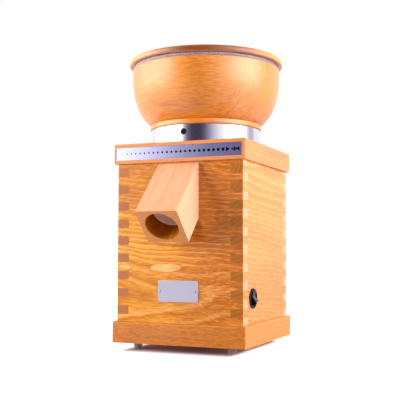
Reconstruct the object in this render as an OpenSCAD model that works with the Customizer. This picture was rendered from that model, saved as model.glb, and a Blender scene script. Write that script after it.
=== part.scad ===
// Electric grain mill: a finger-jointed beech housing with a motor, a pair of stones and a turned
// hopper that is screwed up or down to set the gap between the stones.
// X runs across the front, Y from the front (-) to the back (+) and Z up. The feet stand on Z = 0,
// and the Z axis is the axis of the motor, the stones and the hopper.

/* [Housing] */
// Width of the housing across the front
box_w = 156.5; // [156:0.5:160]
// Depth of the housing from front to back
box_d = 160; // [159:0.5:164]
// Thickness of the four walls
wall_t = 15; // [14:0.5:15.5]
// Number of fingers up each corner
fingers = 19; // [19:2:23]
// Height of one finger
finger_h = 10; // [10:0.1:10.5]
// Rounding of the housing's upright corners
corner_r = 0.9; // [0.3:0.1:1.5]

/* [Plinth and cap] */
// Thickness of the plinth board
base_t = 24.5; // [20:0.5:30]
// Overhang of the plinth on each side
base_over = 4.1; // [2:0.1:8]
// Depth to which the walls stand in the plinth
base_house = 1.7; // [1:0.1:4]
// Thickness of the cap board
cap_t = 23.3; // [22:0.1:26]
// Overhang of the cap on each side
cap_over = 3.7; // [2:0.1:8]
// Depth to which the walls stand in the cap
cap_house = 5.3; // [2:0.1:8]
// Height of the feet
foot_h = 8; // [6:0.5:12]
// Distance of the feet from the middle, sideways
foot_x = 59; // [50:1:64]
// Distance of the feet from the middle, front to back
foot_y = 63; // [50:1:66]

/* [Spout] */
// Width of the spout's square section
spout_w = 50; // [46:1:54]
// Height of the spout's square section
spout_h = 46; // [44:1:46]
// Length of the spout along its axis, from the wall to its end face
spout_reach = 60; // [45:1:75]
// Bore at the spout's mouth
spout_bore_d = 39; // [38.5:0.5:40]
// Depth of that bore, to the outlet tube
spout_bore_len = 22; // [15:1:26]
// Rounding of the spout's long edges
spout_edge_r = 0.8; // [0.3:0.1:2]

/* [Scale and plate] */
// Length of the scale strip in the cap's front
scale_w = 158; // [120:1:159]
// Height of the scale strip
scale_h = 15; // [10:0.5:17]
// Width of the name plate
plate_w = 50; // [30:1:70]
// Height of the name plate
plate_h = 24.5; // [15:0.5:30]

/* [Hopper] */
// Outer diameter of the adjusting ring
ring_d = 133.6; // [133:0.1:136]
// Height of the adjusting ring above the cap
ring_h = 22.7; // [20:0.1:28]
// Outer diameter of the bowl at its widest
bowl_d = 180.8; // [170:0.2:190]
// Height of the bowl
bowl_h = 74.8; // [70:0.1:90]
// Thickness of the bowl's wall at the rim
bowl_rim_t = 9.2; // [7:0.1:12]
// Outer diameter of the lid
lid_d = 188.6; // [186:0.2:198]
// Thickness of the lid's disc
lid_t = 7.2; // [6:0.1:10]

/* [Stones] */
// Diameter of the millstones
stone_d = 88; // [80:1:88]
// Thickness of each millstone
stone_t = 15; // [12:0.5:15]
// Gap between the stones when the index stands at the middle of the scale
stone_gap = 1.3; // [1.3:0.1:2]

/* [Hidden] */
$fn = 96;

// Clearances: a running fit, the gap of a piece that is only set in its place, and a free gap
run_gap = 0.07;
set_gap = 0.05;
free_gap = 0.6;
// Overrun of a cut past the face it opens
cut = 1;
over = 2 * cut;

// Heights of the housing
base_top = foot_h + base_t;
box_z = base_top - base_house;
box_h = fingers * finger_h;
box_top = box_z + box_h;
cap_z = box_top - cap_house;
cap_top = cap_z + cap_t;
front_y = -box_d / 2;
side_x = box_w / 2;
inner_w = box_w - 2 * wall_t;
inner_d = box_d - 2 * wall_t;

// Spout: its axis falls at 45 degrees and meets the wall's face at spout_root_z
spout_angle = 45;
spout_under_cap = 0.4;
spout_root_z = cap_z - spout_under_cap - spout_h / 2 / cos(spout_angle);
spout_r = spout_bore_d / 2;
tube_r = 18.3;
tube_t = 1.6;
tube_seat_r = tube_r + set_gap;
tube_gap_len = 5;
spout_full = 160;

// Grinding chamber and stones
chamber_r = 52;
chamber_t = 5;
pan_t = 4;
pan_z = spout_root_z + box_d / 2 - chamber_r - (tube_r - tube_t) / cos(spout_angle);
pan_under = pan_z - pan_t;
ledge_t = 3.1;
ledge_top = cap_z - 1.5;
ledge_r = 45.2;
stone_r = stone_d / 2;
eye_r = 17;
sweep_gap = 0.6;
sweep_t = 1.5;
sweep_z = pan_z + sweep_gap;
driver_z = sweep_z + sweep_t;
driver_t = 4.5;
driver_r = 36;
hub_r = 11;
lower_z = driver_z + driver_t;
lower_top = lower_z + stone_t;
upper_z = lower_top + stone_gap;
upper_top = upper_z + stone_t;
furrow_sectors = 9;
furrow_w = 3.4;
furrow_depth = 1.6;
dish_depth = 2.5;

// Carrier of the upper stone, its guide pins and springs
carrier_t = 6;
carrier_r = 51.3;
carrier_top = upper_top + carrier_t;
pin_circle_r = 48.6;
pin_r = 1.75;
pins = 3;
spring_wire_r = 0.4;
spring_r = 2.4;
spring_turns = 5;

// Thread bush in the cap and adjusting ring of the hopper. The sleeve is the thread's core line
bush_r = 56.5;
bush_flange_r = 62.8;
bush_flange_t = 3;
bush_h = 33.5;
sleeve_r = 52;
sleeve_t = 4.5;
sleeve_gap = 0.3;
sleeve_z = carrier_top + sleeve_gap;
ring_r = ring_d / 2;
ring_t = 3.2;
ring_sunk = 1.2;
ring_z = cap_top - ring_sunk;
ring_top = cap_top + ring_h;
web_t = 5;
groove_depth = 2.8;
index_r = 3.65;
index_z = cap_top + 13.7;

// Feed tube, bowl and lid
feed_r = 17;
feed_t = 3;
feed_z = upper_top + 1.6;
feed_flange_r = 30;
feed_flange_t = 2;
bowl_r = bowl_d / 2;
bowl_z = ring_top;
bowl_top = bowl_z + bowl_h;
bead_h = 6.6;
bead_r = 68.2;
belly_z = bowl_z + 61.3;
belly_fall = belly_z - bowl_z - bead_h;
throat_r = 24;
throat_z = bowl_z + 11.5;
bowl_steps = 24;
lid_gap = 0.3;
seal_z = bowl_top + lid_gap;
seal_r = 88.6;
seal_t = 3.6;
lid_z = bowl_top + seal_t;
lid_r = lid_d / 2;
lid_round = 3.4;
lid_dome = 1.6;
dome_steps = 10;
spigot_r = bowl_r - bowl_rim_t - 1.6;
spigot_h = 8.6;

// Motor, hung from its plate
motor_r = 50;
plate_t = 3;
plate_z = pan_under - plate_t;
batten_w = 10.5;
batten_h = 20;
batten_l = 100;
shield_t = 8;
skirt_t = 6.5;
shaft_r = 7.5;
stud_r = 6;
bearing_r = 17.5;
bearing_h = 11;
stack_h = 55;
stack_top = plate_z - 30;
stack_z = stack_top - stack_h;
lower_shield_z = stack_z - 30;
rotor_r = 27;
air_gap = 0.5;
slots = 24;
tie_r = 46.7;
motor_bolt_r = 2;
motor_bolt_circle_r = 30;
fan_r = 45;
fan_h = 15;
fan_z = lower_shield_z - 3 - fan_h;
shaft_z = fan_z - 4;

// Rocker switch in the right wall
switch_y = -49.5;
switch_z = 61;
bezel_r = 11.5;
bezel_t = 1.9;
bezel_in_r = 10.2;
bezel_floor = 0.5;
barrel_r = 10;
rocker_in = 6.1;
rocker_rise = 8;
rocker_wing = 7.6;
rocker_wing_angle = 25;
rocker_tilt = 15;
rocker_half = 5;

// Cord gland in the rear wall
gland_x = -22;
gland_z = 55;
gland_r = 7;
gland_bore_r = 3.5;

wood = "burlywood";
pale_wood = "wheat";
steel = "lightsteelblue";
bright = "silver";
plastic = "dimgray";
grey_plastic = "gainsboro";
black = "black";

// ---------- shared shapes ----------

module around(n, r, first = 0) {
    for (i = [0:n - 1])
        rotate([0, 0, first + i * 360 / n])
            translate([r, 0, 0])
                children();
}

module corners(x, y) {
    for (sx = [-1, 1], sy = [-1, 1])
        translate([sx * x, sy * y, 0])
            children();
}

module ring_solid(r_out, r_in, h) {
    difference() {
        cylinder(r = r_out, h = h);
        translate([0, 0, -cut])
            cylinder(r = r_in, h = h + over);
    }
}

// Rectangle centred on the origin with four round corners
module round_rect(w, h, r) {
    square([w - 2 * r, h], center = true);
    square([w, h - 2 * r], center = true);
    for (x = [-1, 1], y = [-1, 1])
        translate([x * (w / 2 - r), y * (h / 2 - r)])
            circle(r = r);
}

// Rectangle that stands on the X axis, with its two upper corners round
module crowned_rect(w, h, r) {
    translate([-w / 2, 0])
        square([w, h - r]);
    translate([-w / 2 + r, 0])
        square([w - 2 * r, h]);
    for (x = [-1, 1])
        translate([x * (w / 2 - r), h - r])
            circle(r = r);
}

// Board whose upper edges and upright corners are eased
module eased_board(w, d, t, top_r, corner_r) {
    intersection() {
        translate([0, d / 2, 0])
            rotate([90, 0, 0])
                linear_extrude(d)
                    crowned_rect(w, t, top_r);
        translate([-w / 2, 0, 0])
            rotate([90, 0, 90])
                linear_extrude(w)
                    crowned_rect(d, t, top_r);
        linear_extrude(t)
            round_rect(w, d, corner_r);
    }
}

// Countersunk screw that points down from the origin, its head flush with Z = 0
module flat_screw(r, l, head_r) {
    translate([0, 0, -l])
        cylinder(r = r, h = l);
    translate([0, 0, r - head_r])
        cylinder(r1 = r, r2 = head_r, h = head_r - r);
}

// Pan-head screw that points down from the origin, its head standing on Z = 0
module pan_screw(r, l, head_r, head_h) {
    translate([0, 0, -l])
        cylinder(r = r, h = l + cut);
    difference() {
        cylinder(r = head_r, h = head_h);
        translate([0, 0, head_h / 2])
            cylinder(r = head_r / 2, h = head_h, $fn = 6);
    }
}

// Moves children so that they point up along the spout's bore, from the middle of its end face
module along_spout() {
    translate([
        0,
        front_y - spout_reach * cos(spout_angle),
        spout_root_z - spout_reach * sin(spout_angle)
    ])
        rotate([-spout_angle, 0, 0])
            children();
}

// Everything below the cap's underside
module below_cap() {
    translate([-box_w, -2 * box_d, 0])
        cube([2 * box_w, 4 * box_d, cap_z]);
}

// ---------- housing ----------

// Outline of the whole housing, which rounds the walls' outer corners
module walls_outline() {
    translate([0, 0, box_z])
        linear_extrude(box_h)
            round_rect(box_w, box_d, corner_r);
}

// Wall with the fingers that show at the top and bottom of each corner, its outer face on Y = 0
module long_wall() {
    difference() {
        translate([-side_x, 0, box_z])
            cube([box_w, wall_t, box_h]);
        for (i = [1:2:fingers - 2], side = [-1, 1])
            translate([side * (side_x - wall_t / 2 + cut / 2), wall_t / 2, box_z + (i + 0.5) * finger_h])
                cube([wall_t + cut, wall_t + over, finger_h], center = true);
    }
}

// Wall with the fingers between those, its outer face on X = 0
module short_wall() {
    translate([0, -inner_d / 2, box_z])
        cube([wall_t, inner_d, box_h]);
    for (i = [1:2:fingers - 2])
        translate([0, front_y, box_z + i * finger_h])
            cube([wall_t, box_d, finger_h]);
}

module tube_hole() {
    intersection() {
        along_spout()
            cylinder(r = tube_seat_r, h = spout_full);
        below_cap();
    }
}

module plate_pin_places() {
    for (x = [-1, 1])
        translate([x * (plate_w / 2 - 3.2), front_y, 68.5])
            rotate([90, 0, 0])
                children();
}

// Places of the screws that hold the walls on the plinth
module base_screw_places() {
    for (x = [-40, 40], y = [-1, 1])
        translate([x, y * (box_d - wall_t) / 2, foot_h])
            children();
    for (y = [-30, 30], x = [-1, 1])
        translate([x * (box_w - wall_t) / 2, y, foot_h])
            children();
}

base_screw_r = 2;
base_screw_l = 50;
base_screw_head_r = 4;

module base_screw_holes() {
    base_screw_places()
        rotate([180, 0, 0])
            flat_screw(base_screw_r + set_gap, base_screw_l + cut, base_screw_head_r + set_gap);
}

module front_panel() {
    color(wood)
        difference() {
            intersection() {
                translate([0, front_y, 0])
                    long_wall();
                walls_outline();
            }
            tube_hole();
            plate_pin_places()
                translate([0, 0, -8])
                    cylinder(r = 0.8 + set_gap, h = 8 + cut);
            base_screw_holes();
        }
}

vent_rows = 7;
vent_w = 64;
vent_h = 3.6;
vent_pitch = 10;
vent_mid_z = 125;

module rear_panel() {
    color(wood)
        difference() {
            intersection() {
                translate([0, -front_y - wall_t, 0])
                    long_wall();
                walls_outline();
            }
            for (i = [0:vent_rows - 1])
                translate([0, -front_y, vent_mid_z + (i - (vent_rows - 1) / 2) * vent_pitch])
                    rotate([90, 0, 0])
                        translate([0, 0, -cut])
                            linear_extrude(wall_t + over)
                                round_rect(vent_w, vent_h, vent_h / 2 - 0.1);
            translate([gland_x, -front_y + cut, gland_z])
                rotate([90, 0, 0])
                    cylinder(r = gland_r + set_gap, h = wall_t + over);
            base_screw_holes();
        }
}

module left_panel() {
    color(wood)
        difference() {
            intersection() {
                translate([-side_x, 0, 0])
                    short_wall();
                walls_outline();
            }
            base_screw_holes();
        }
}

switch_skin = 4;
switch_room_r = 14.5;

module right_panel() {
    color(wood)
        difference() {
            intersection() {
                translate([side_x - wall_t, 0, 0])
                    short_wall();
                walls_outline();
            }
            translate([side_x - wall_t - cut, switch_y, switch_z])
                rotate([0, 90, 0])
                    cylinder(r = barrel_r + set_gap, h = wall_t + over);
            translate([side_x - wall_t - cut, switch_y, switch_z])
                rotate([0, 90, 0])
                    cylinder(r = switch_room_r, h = wall_t - switch_skin + cut);
            base_screw_holes();
        }
}

intake_ring = 10;
foot_screw_r = 1.75;

module base_board() {
    color(wood)
        difference() {
            translate([0, 0, foot_h])
                eased_board(box_w + 2 * base_over, box_d + 2 * base_over, base_t, 2.2, 1.5);
            translate([-side_x, front_y, box_z])
                cube([box_w, box_d, base_t]);
            for (r = [14, 27])
                around(intake_ring, r, r)
                    translate([0, 0, foot_h - cut])
                        cylinder(r = 3, h = base_t + over);
            corners(foot_x, foot_y)
                translate([0, 0, foot_h - cut])
                    cylinder(r = foot_screw_r + set_gap, h = 14 + cut);
            base_screw_holes();
        }
}

scale_x = -1;
scale_z = cap_top - 4.2 - scale_h / 2;
scale_sunk = 2.2;
scale_t = 1.2;

module bush_screw_places() {
    around(4, 59.9, 45)
        translate([0, 0, cap_top + bush_flange_t])
            children();
}

module chamber_screw_places() {
    around(4, 70, 45)
        translate([0, 0, cap_z - 6])
            rotate([180, 0, 0])
                children();
}

module top_board() {
    color(wood)
        difference() {
            translate([0, 0, cap_z])
                eased_board(box_w + 2 * cap_over, box_d + 2 * cap_over, cap_t, 1.2, 1);
            difference() {
                translate([-side_x, front_y, cap_z - cut])
                    cube([box_w, box_d, cap_house + cut]);
                translate([-inner_w / 2, -inner_d / 2, cap_z - over])
                    cube([inner_w, inner_d, cap_house + 2 * over]);
            }
            translate([0, 0, cap_z - cut])
                cylinder(r = bush_r + set_gap, h = cap_t + over);
            translate([0, 0, cap_top - groove_depth])
                ring_solid(ring_r + free_gap, ring_r - ring_t - 0.5, groove_depth + cut);
            translate([scale_x - scale_w / 2, front_y - cap_over - cut, scale_z - scale_h / 2])
                cube([scale_w, scale_sunk + cut, scale_h]);
            bush_screw_places()
                flat_screw(1.25 + set_gap, 14 + cut, 2.4 + set_gap);
            chamber_screw_places()
                translate([0, 0, -21])
                    cylinder(r = 2 + set_gap, h = 21 + cut);
        }
}

module scale_strip() {
    color(bright)
        translate([scale_x - scale_w / 2, front_y - cap_over + scale_sunk - scale_t, scale_z - scale_h / 2])
            cube([scale_w, scale_t, scale_h]);
}

module spout() {
    color(pale_wood)
        difference() {
            intersection() {
                along_spout()
                    linear_extrude(spout_full)
                        round_rect(spout_w, spout_h, spout_edge_r);
                translate([-box_w / 2, front_y - box_d, 0])
                    cube([box_w, box_d, 2 * cap_z]);
            }
            along_spout() {
                translate([0, 0, -cut])
                    cylinder(r = spout_r, h = spout_bore_len + cut);
                translate([0, 0, spout_bore_len - 0.01])
                    cylinder(r = spout_r + 0.5, h = tube_gap_len);
                cylinder(r = tube_seat_r, h = spout_full);
            }
        }
}

module outlet_tube() {
    color(grey_plastic)
        difference() {
            intersection() {
                along_spout()
                    translate([0, 0, spout_bore_len])
                        ring_solid(tube_r, tube_r - tube_t, spout_full - 2 * spout_bore_len);
                below_cap();
                translate([-box_w / 2, -box_d, 0])
                    cube([box_w, box_d, 2 * cap_z]);
            }
            translate([0, 0, pan_z - chamber_r])
                cylinder(r = chamber_r, h = 2 * chamber_r);
        }
}

module name_plate() {
    color(bright)
        translate([0, front_y, 68.5])
            rotate([90, 0, 0])
                difference() {
                    linear_extrude(0.9)
                        round_rect(plate_w, plate_h, 2);
                    for (x = [-1, 1])
                        translate([x * (plate_w / 2 - 3.2), 0, -cut])
                            cylinder(r = 0.8 + set_gap, h = 0.9 + over);
                }
}

module name_plate_pins() {
    color(steel)
        plate_pin_places() {
            translate([0, 0, -7])
                cylinder(r = 0.8, h = 7.9);
            translate([0, 0, 0.9])
                cylinder(r1 = 1.3, r2 = 0.9, h = 0.45);
        }
}

// ---------- feet and screws ----------

module foot(sx, sy) {
    color(grey_plastic, 0.6)
        translate([sx * foot_x, sy * foot_y, 0])
            difference() {
                cylinder(r1 = 4.4, r2 = 5.7, h = foot_h);
                translate([0, 0, -cut])
                    cylinder(r = 3.2, h = 4 + cut);
                cylinder(r = foot_screw_r + set_gap, h = foot_h + cut);
            }
}

module foot_front_left() {
    foot(-1, -1);
}

module foot_front_right() {
    foot(1, -1);
}

module foot_rear_left() {
    foot(-1, 1);
}

module foot_rear_right() {
    foot(1, 1);
}

module foot_screws() {
    color(steel)
        corners(foot_x, foot_y)
            translate([0, 0, 4])
                rotate([180, 0, 0])
                    pan_screw(foot_screw_r, 17, 3, 2);
}

module base_screws() {
    color(steel)
        base_screw_places()
            rotate([180, 0, 0])
                flat_screw(base_screw_r, base_screw_l, base_screw_head_r);
}

// ---------- motor mounting and grinding chamber ----------

plate_screw_x = inner_w / 2 - batten_w / 2;
plate_screw_y = 40;

module plate_battens() {
    color(pale_wood)
        for (side = [-1, 1])
            difference() {
                translate([side * plate_screw_x, 0, plate_z - batten_h / 2])
                    cube([batten_w, batten_l, batten_h], center = true);
                for (y = [-1, 1])
                    translate([side * plate_screw_x, y * plate_screw_y, plate_z - 15])
                        cylinder(r = 1.75 + set_gap, h = 15 + cut);
            }
}

module motor_bolt_places() {
    around(4, motor_bolt_circle_r)
        children();
}

module motor_plate() {
    color(steel)
        difference() {
            translate([0, 0, plate_z])
                linear_extrude(plate_t)
                    round_rect(inner_w - 1, batten_l - 4, 3);
            translate([0, 0, plate_z - cut])
                cylinder(r = shaft_r + 1, h = plate_t + over);
            motor_bolt_places()
                translate([0, 0, plate_z - cut])
                    cylinder(r = motor_bolt_r + set_gap, h = plate_t + over);
            corners(plate_screw_x, plate_screw_y)
                translate([0, 0, plate_z - cut])
                    cylinder(r = 1.75 + set_gap, h = plate_t + over);
        }
}

module plate_screws() {
    color(steel)
        corners(plate_screw_x, plate_screw_y)
            translate([0, 0, plate_z + plate_t])
                pan_screw(1.75, 17, 3.4, 2.4);
}

ear_w = 13;
socket_w = 43;

module grinding_chamber() {
    color(grey_plastic)
        difference() {
            union() {
                rotate_extrude()
                    polygon([
                        [12 + set_gap, pan_under],
                        [chamber_r + chamber_t, pan_under],
                        [chamber_r + chamber_t, cap_z],
                        [chamber_r, cap_z],
                        [chamber_r, ledge_top],
                        [ledge_r, ledge_top],
                        [ledge_r, ledge_top - ledge_t],
                        [chamber_r, ledge_top - ledge_t],
                        [chamber_r, pan_z],
                        [12 + set_gap, pan_z]
                    ]);
                around(4, 0, 45) {
                    translate([chamber_r + 1, -ear_w / 2, cap_z - 6])
                        cube([70 - chamber_r - 1, ear_w, 6]);
                    translate([70, 0, cap_z - 6])
                        cylinder(r = ear_w / 2, h = 6);
                }
                difference() {
                    intersection() {
                        along_spout()
                            translate([-socket_w / 2, -socket_w / 2, 0])
                                cube([socket_w, socket_w, spout_full]);
                        translate([-box_w / 2, -inner_d / 2, pan_under])
                            cube([box_w, inner_d / 2, cap_z - pan_under]);
                    }
                    translate([0, 0, pan_under - cut])
                        cylinder(r = chamber_r + 1, h = cap_z);
                }
            }
            difference() {
                tube_hole();
                translate([0, 0, pan_z - chamber_r])
                    cylinder(r = chamber_r, h = chamber_r);
                translate([-box_w / 2, -over, 0])
                    cube([box_w, box_d, 2 * cap_z]);
            }
            chamber_screw_places()
                translate([0, 0, -20])
                    cylinder(r = 2 + set_gap, h = 20 + cut);
            around(pins, pin_circle_r, 90)
                translate([0, 0, ledge_top - ledge_t - cut])
                    cylinder(r = pin_r + set_gap, h = ledge_t + over);
            motor_bolt_places()
                translate([0, 0, pan_z])
                    flat_screw(motor_bolt_r + set_gap, pan_t + cut, 4 + set_gap);
        }
}

module chamber_screws() {
    color(steel)
        chamber_screw_places()
            pan_screw(2, 20, 3.6, 2.6);
}

module felt_seal() {
    color("tan")
        translate([0, 0, pan_under])
            ring_solid(12, shaft_r + 0.4, pan_t - 0.1);
}

module thread_bush() {
    color(bright)
        difference() {
            union() {
                translate([0, 0, cap_z])
                    cylinder(r = bush_r, h = bush_h);
                translate([0, 0, cap_top])
                    cylinder(r = bush_flange_r, h = bush_flange_t);
            }
            translate([0, 0, cap_z - cut])
                cylinder(r = sleeve_r + run_gap, h = bush_h + over);
            bush_screw_places()
                flat_screw(1.25 + set_gap, 14, 2.4 + set_gap);
        }
}

module bush_screws() {
    color(steel)
        bush_screw_places()
            flat_screw(1.25, 14, 2.4);
}

module guide_pins() {
    color(steel)
        around(pins, pin_circle_r, 90)
            translate([0, 0, ledge_top - ledge_t])
                cylinder(r = pin_r, h = carrier_top - 1.4 - ledge_top + ledge_t);
}

// Open coil, drawn as rings one pitch apart that are joined by short bars into one spring
module coil_spring(h) {
    pitch = (h - 2 * spring_wire_r) / (spring_turns - 1);
    for (i = [0:spring_turns - 1])
        translate([0, 0, spring_wire_r + i * pitch])
            rotate_extrude()
                translate([spring_r, 0])
                    circle(r = spring_wire_r, $fn = 16);
    for (i = [0:spring_turns - 2])
        rotate([0, 0, i * 180])
            translate([spring_r, 0, spring_wire_r + i * pitch])
                cylinder(r = spring_wire_r * 0.9, h = pitch, $fn = 16);
}

module carrier_springs() {
    color(steel)
        around(pins, pin_circle_r, 90)
            translate([0, 0, ledge_top])
                coil_spring(upper_top - ledge_top);
}

// ---------- motor ----------

windows = 6;

// End shield, its outer face on Z = 0 and its skirt pointing down
module end_shield(skirt_h) {
    difference() {
        union() {
            translate([0, 0, -shield_t])
                cylinder(r = motor_r, h = shield_t);
            translate([0, 0, -skirt_h])
                ring_solid(motor_r, motor_r - skirt_t, skirt_h);
            translate([0, 0, -14])
                cylinder(r = bearing_r + 4, h = 14);
        }
        translate([0, 0, -14 - cut])
            cylinder(r = bearing_r + set_gap, h = bearing_h + cut);
        translate([0, 0, -14 - cut])
            cylinder(r = shaft_r + 1.5, h = 14 + over);
        around(windows, motor_r, 30)
            translate([-skirt_t - cut, -8, -skirt_h + 5])
                cube([skirt_t + over, 16, skirt_h - shield_t - 7]);
        around(4, tie_r, 45)
            translate([0, 0, -skirt_h - cut])
                cylinder(r = 1.75 + set_gap, h = skirt_h + over);
    }
}

module upper_shield() {
    color(bright)
        difference() {
            translate([0, 0, plate_z])
                end_shield(plate_z - stack_top);
            motor_bolt_places()
                translate([0, 0, plate_z - shield_t - cut])
                    cylinder(r = motor_bolt_r + set_gap, h = shield_t + over);
        }
}

module lower_shield() {
    color(bright)
        translate([0, 0, lower_shield_z])
            mirror([0, 0, 1])
                end_shield(stack_z - lower_shield_z);
}

slot_w = 3.6;
slot_in_r = rotor_r + air_gap + 2;
slot_out_r = 41;

module stator_core() {
    color(steel)
        difference() {
            translate([0, 0, stack_z])
                ring_solid(motor_r, rotor_r + air_gap, stack_h);
            around(slots, 0)
                translate([slot_in_r, -slot_w / 2, stack_z - cut])
                    cube([slot_out_r - slot_in_r, slot_w, stack_h + over]);
            around(4, tie_r, 45)
                translate([0, 0, stack_z - cut])
                    cylinder(r = 1.75 + set_gap, h = stack_h + over);
        }
}

turn_h = 14;

module stator_windings() {
    color("peru") {
        around(slots, 0)
            translate([slot_in_r + 0.2, -slot_w / 2 + 0.2, stack_z - 2])
                cube([slot_out_r - slot_in_r - 0.4, slot_w - 0.4, stack_h + 4]);
        for (z = [stack_z - turn_h, stack_top])
            translate([0, 0, z])
                rotate_extrude()
                    translate([(slot_in_r + slot_out_r) / 2, turn_h / 2])
                        round_rect(slot_out_r - slot_in_r, turn_h, 4);
    }
}

module ball_bearing() {
    difference() {
        cylinder(r = bearing_r, h = bearing_h);
        translate([0, 0, -cut])
            cylinder(r = shaft_r + run_gap, h = bearing_h + over);
        for (z = [-cut, bearing_h - 1])
            translate([0, 0, z])
                ring_solid(bearing_r - 3, shaft_r + 2.6, 1 + cut);
    }
}

module upper_bearing() {
    color(bright)
        translate([0, 0, plate_z - 14])
            ball_bearing();
}

module lower_bearing() {
    color(bright)
        translate([0, 0, lower_shield_z + 3])
            ball_bearing();
}

module motor_tie_bolts() {
    color(steel)
        around(4, tie_r, 45)
            translate([0, 0, lower_shield_z])
                rotate([180, 0, 0])
                    pan_screw(1.75, plate_z - lower_shield_z - 2, 3.2, 2.4);
}

module motor_bolts() {
    color(steel)
        motor_bolt_places()
            translate([0, 0, pan_z])
                flat_screw(motor_bolt_r, pan_t + plate_t + shield_t - 1, 4);
}

module motor_shaft() {
    color(steel) {
        translate([0, 0, shaft_z])
            cylinder(r = shaft_r, h = sweep_z - shaft_z);
        translate([0, 0, sweep_z - cut])
            cylinder(r = stud_r, h = lower_top + 2.4 - sweep_z + cut);
    }
}

module rotor_core() {
    color(steel)
        difference() {
            union() {
                translate([0, 0, stack_z])
                    cylinder(r = rotor_r, h = stack_h);
                for (z = [stack_z - 6, stack_top - cut])
                    translate([0, 0, z])
                        ring_solid(rotor_r - 1, 16, 6 + cut);
            }
            translate([0, 0, stack_z - cut])
                cylinder(r = shaft_r + set_gap, h = stack_h + over);
        }
}

blades = 10;

module cooling_fan() {
    color(plastic)
        difference() {
            translate([0, 0, fan_z]) {
                cylinder(r = 12, h = fan_h);
                translate([0, 0, fan_h - 2])
                    cylinder(r = fan_r, h = 2);
                around(blades, 0)
                    translate([11, -0.9, 0])
                        cube([fan_r - 11, 1.8, fan_h - 1]);
            }
            translate([0, 0, fan_z - cut])
                cylinder(r = shaft_r + set_gap, h = fan_h + over);
            translate([0, 0, fan_z - cut])
                ring_solid(2 * fan_r, fan_r, fan_h + over);
        }
}

// ---------- stones ----------

paddles = 3;

module sweeper() {
    color(grey_plastic)
        translate([0, 0, sweep_z])
            difference() {
                union() {
                    cylinder(r = driver_r, h = sweep_t);
                    around(paddles, 0, 30)
                        translate([driver_r - 6, -4, 0])
                            cube([chamber_r - 1.4 - driver_r + 6, 8, sweep_t]);
                    around(paddles, 0, 30)
                        translate([stone_r + 1, -1.5, 0])
                            cube([chamber_r - stone_r - 2.4, 3, 8]);
                }
                translate([0, 0, -cut])
                    cylinder(r = stud_r + set_gap, h = sweep_t + over);
            }
}

module stone_driver() {
    color(bright)
        translate([0, 0, driver_z])
            difference() {
                union() {
                    cylinder(r = driver_r, h = driver_t);
                    cylinder(r = hub_r, h = driver_t + stone_t - dish_depth - 0.3);
                }
                translate([0, 0, -cut])
                    cylinder(r = stud_r + set_gap, h = driver_t + stone_t + over);
            }
}

// Furrows of one stone face, cut down from Z = 0. Each sector has a long furrow and two short ones,
// all parallel and off the middle so that those of the two stones cross like shears
module furrows() {
    for (s = [0:furrow_sectors - 1])
        rotate([0, 0, s * 360 / furrow_sectors])
            for (k = [0:2])
                translate([20 + k * 7, 5 + k * 5.4, 0])
                    rotate([0, 90, 0])
                        linear_extrude(stone_r)
                            polygon([
                                [-cut, -furrow_w / 2],
                                [-cut, furrow_w / 2],
                                [0, furrow_w / 2],
                                [furrow_depth, -furrow_w / 4],
                                [0, -furrow_w / 2]
                            ]);
}

// Dish round the middle of a stone, where the grain enters the gap
module stone_dish() {
    translate([0, 0, -dish_depth])
        cylinder(r1 = 18, r2 = 26, h = dish_depth + 0.01);
}

module lower_stone() {
    color("lightgray")
        translate([0, 0, lower_top])
            difference() {
                translate([0, 0, -stone_t])
                    cylinder(r = stone_r, h = stone_t);
                translate([0, 0, -stone_t - cut])
                    cylinder(r = hub_r + set_gap, h = stone_t + over);
                furrows();
                stone_dish();
            }
}

module stone_nut() {
    color(steel)
        translate([0, 0, lower_top - dish_depth])
            difference() {
                union() {
                    cylinder(r = 14, h = 1.8);
                    cylinder(r = 9.6, h = 5, $fn = 6);
                    intersection() {
                        translate([0, 0, 5])
                            cylinder(r = 7.6, h = 6);
                        translate([0, 0, 1.4])
                            sphere(r = 8.4);
                    }
                }
                translate([0, 0, -cut])
                    cylinder(r = stud_r + set_gap, h = 5.4 + cut);
            }
}

module upper_stone() {
    color("lightgray")
        translate([0, 0, upper_z])
            difference() {
                cylinder(r = stone_r, h = stone_t);
                translate([0, 0, -cut])
                    cylinder(r = eye_r, h = stone_t + over);
                mirror([0, 0, 1]) {
                    furrows();
                    stone_dish();
                }
            }
}

module stone_carrier() {
    color(bright)
        translate([0, 0, upper_top])
            difference() {
                cylinder(r = carrier_r, h = carrier_t);
                translate([0, 0, -cut])
                    cylinder(r = feed_r + feed_t + free_gap, h = carrier_t + over);
                around(pins, pin_circle_r, 90)
                    translate([0, 0, -cut])
                        cylinder(r = pin_r + run_gap, h = carrier_t + over);
            }
}

// ---------- hopper ----------

module bowl_screw_places() {
    around(4, 60.2, 0)
        translate([0, 0, ring_top - web_t])
            rotate([180, 0, 0])
                children();
}

module adjusting_ring() {
    color(bright)
        difference() {
            rotate_extrude()
                polygon([
                    [ring_r - ring_t, ring_z],
                    [ring_r, ring_z],
                    [ring_r, ring_top - 0.6],
                    [ring_r - 0.6, ring_top],
                    [feed_flange_r, ring_top],
                    [feed_flange_r, ring_top - feed_flange_t],
                    [feed_r + feed_t + free_gap, ring_top - feed_flange_t],
                    [feed_r + feed_t + free_gap, ring_top - web_t],
                    [sleeve_r - sleeve_t, ring_top - web_t],
                    [sleeve_r - sleeve_t, sleeve_z],
                    [sleeve_r, sleeve_z],
                    [sleeve_r, ring_top - web_t],
                    [ring_r - ring_t, ring_top - web_t]
                ]);
            bowl_screw_places()
                translate([0, 0, -web_t - cut])
                    cylinder(r = 2 + set_gap, h = web_t + over);
            translate([0, -ring_r - cut, index_z])
                rotate([-90, 0, 0])
                    cylinder(r = index_r + set_gap, h = ring_t + over);
        }
}

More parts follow.
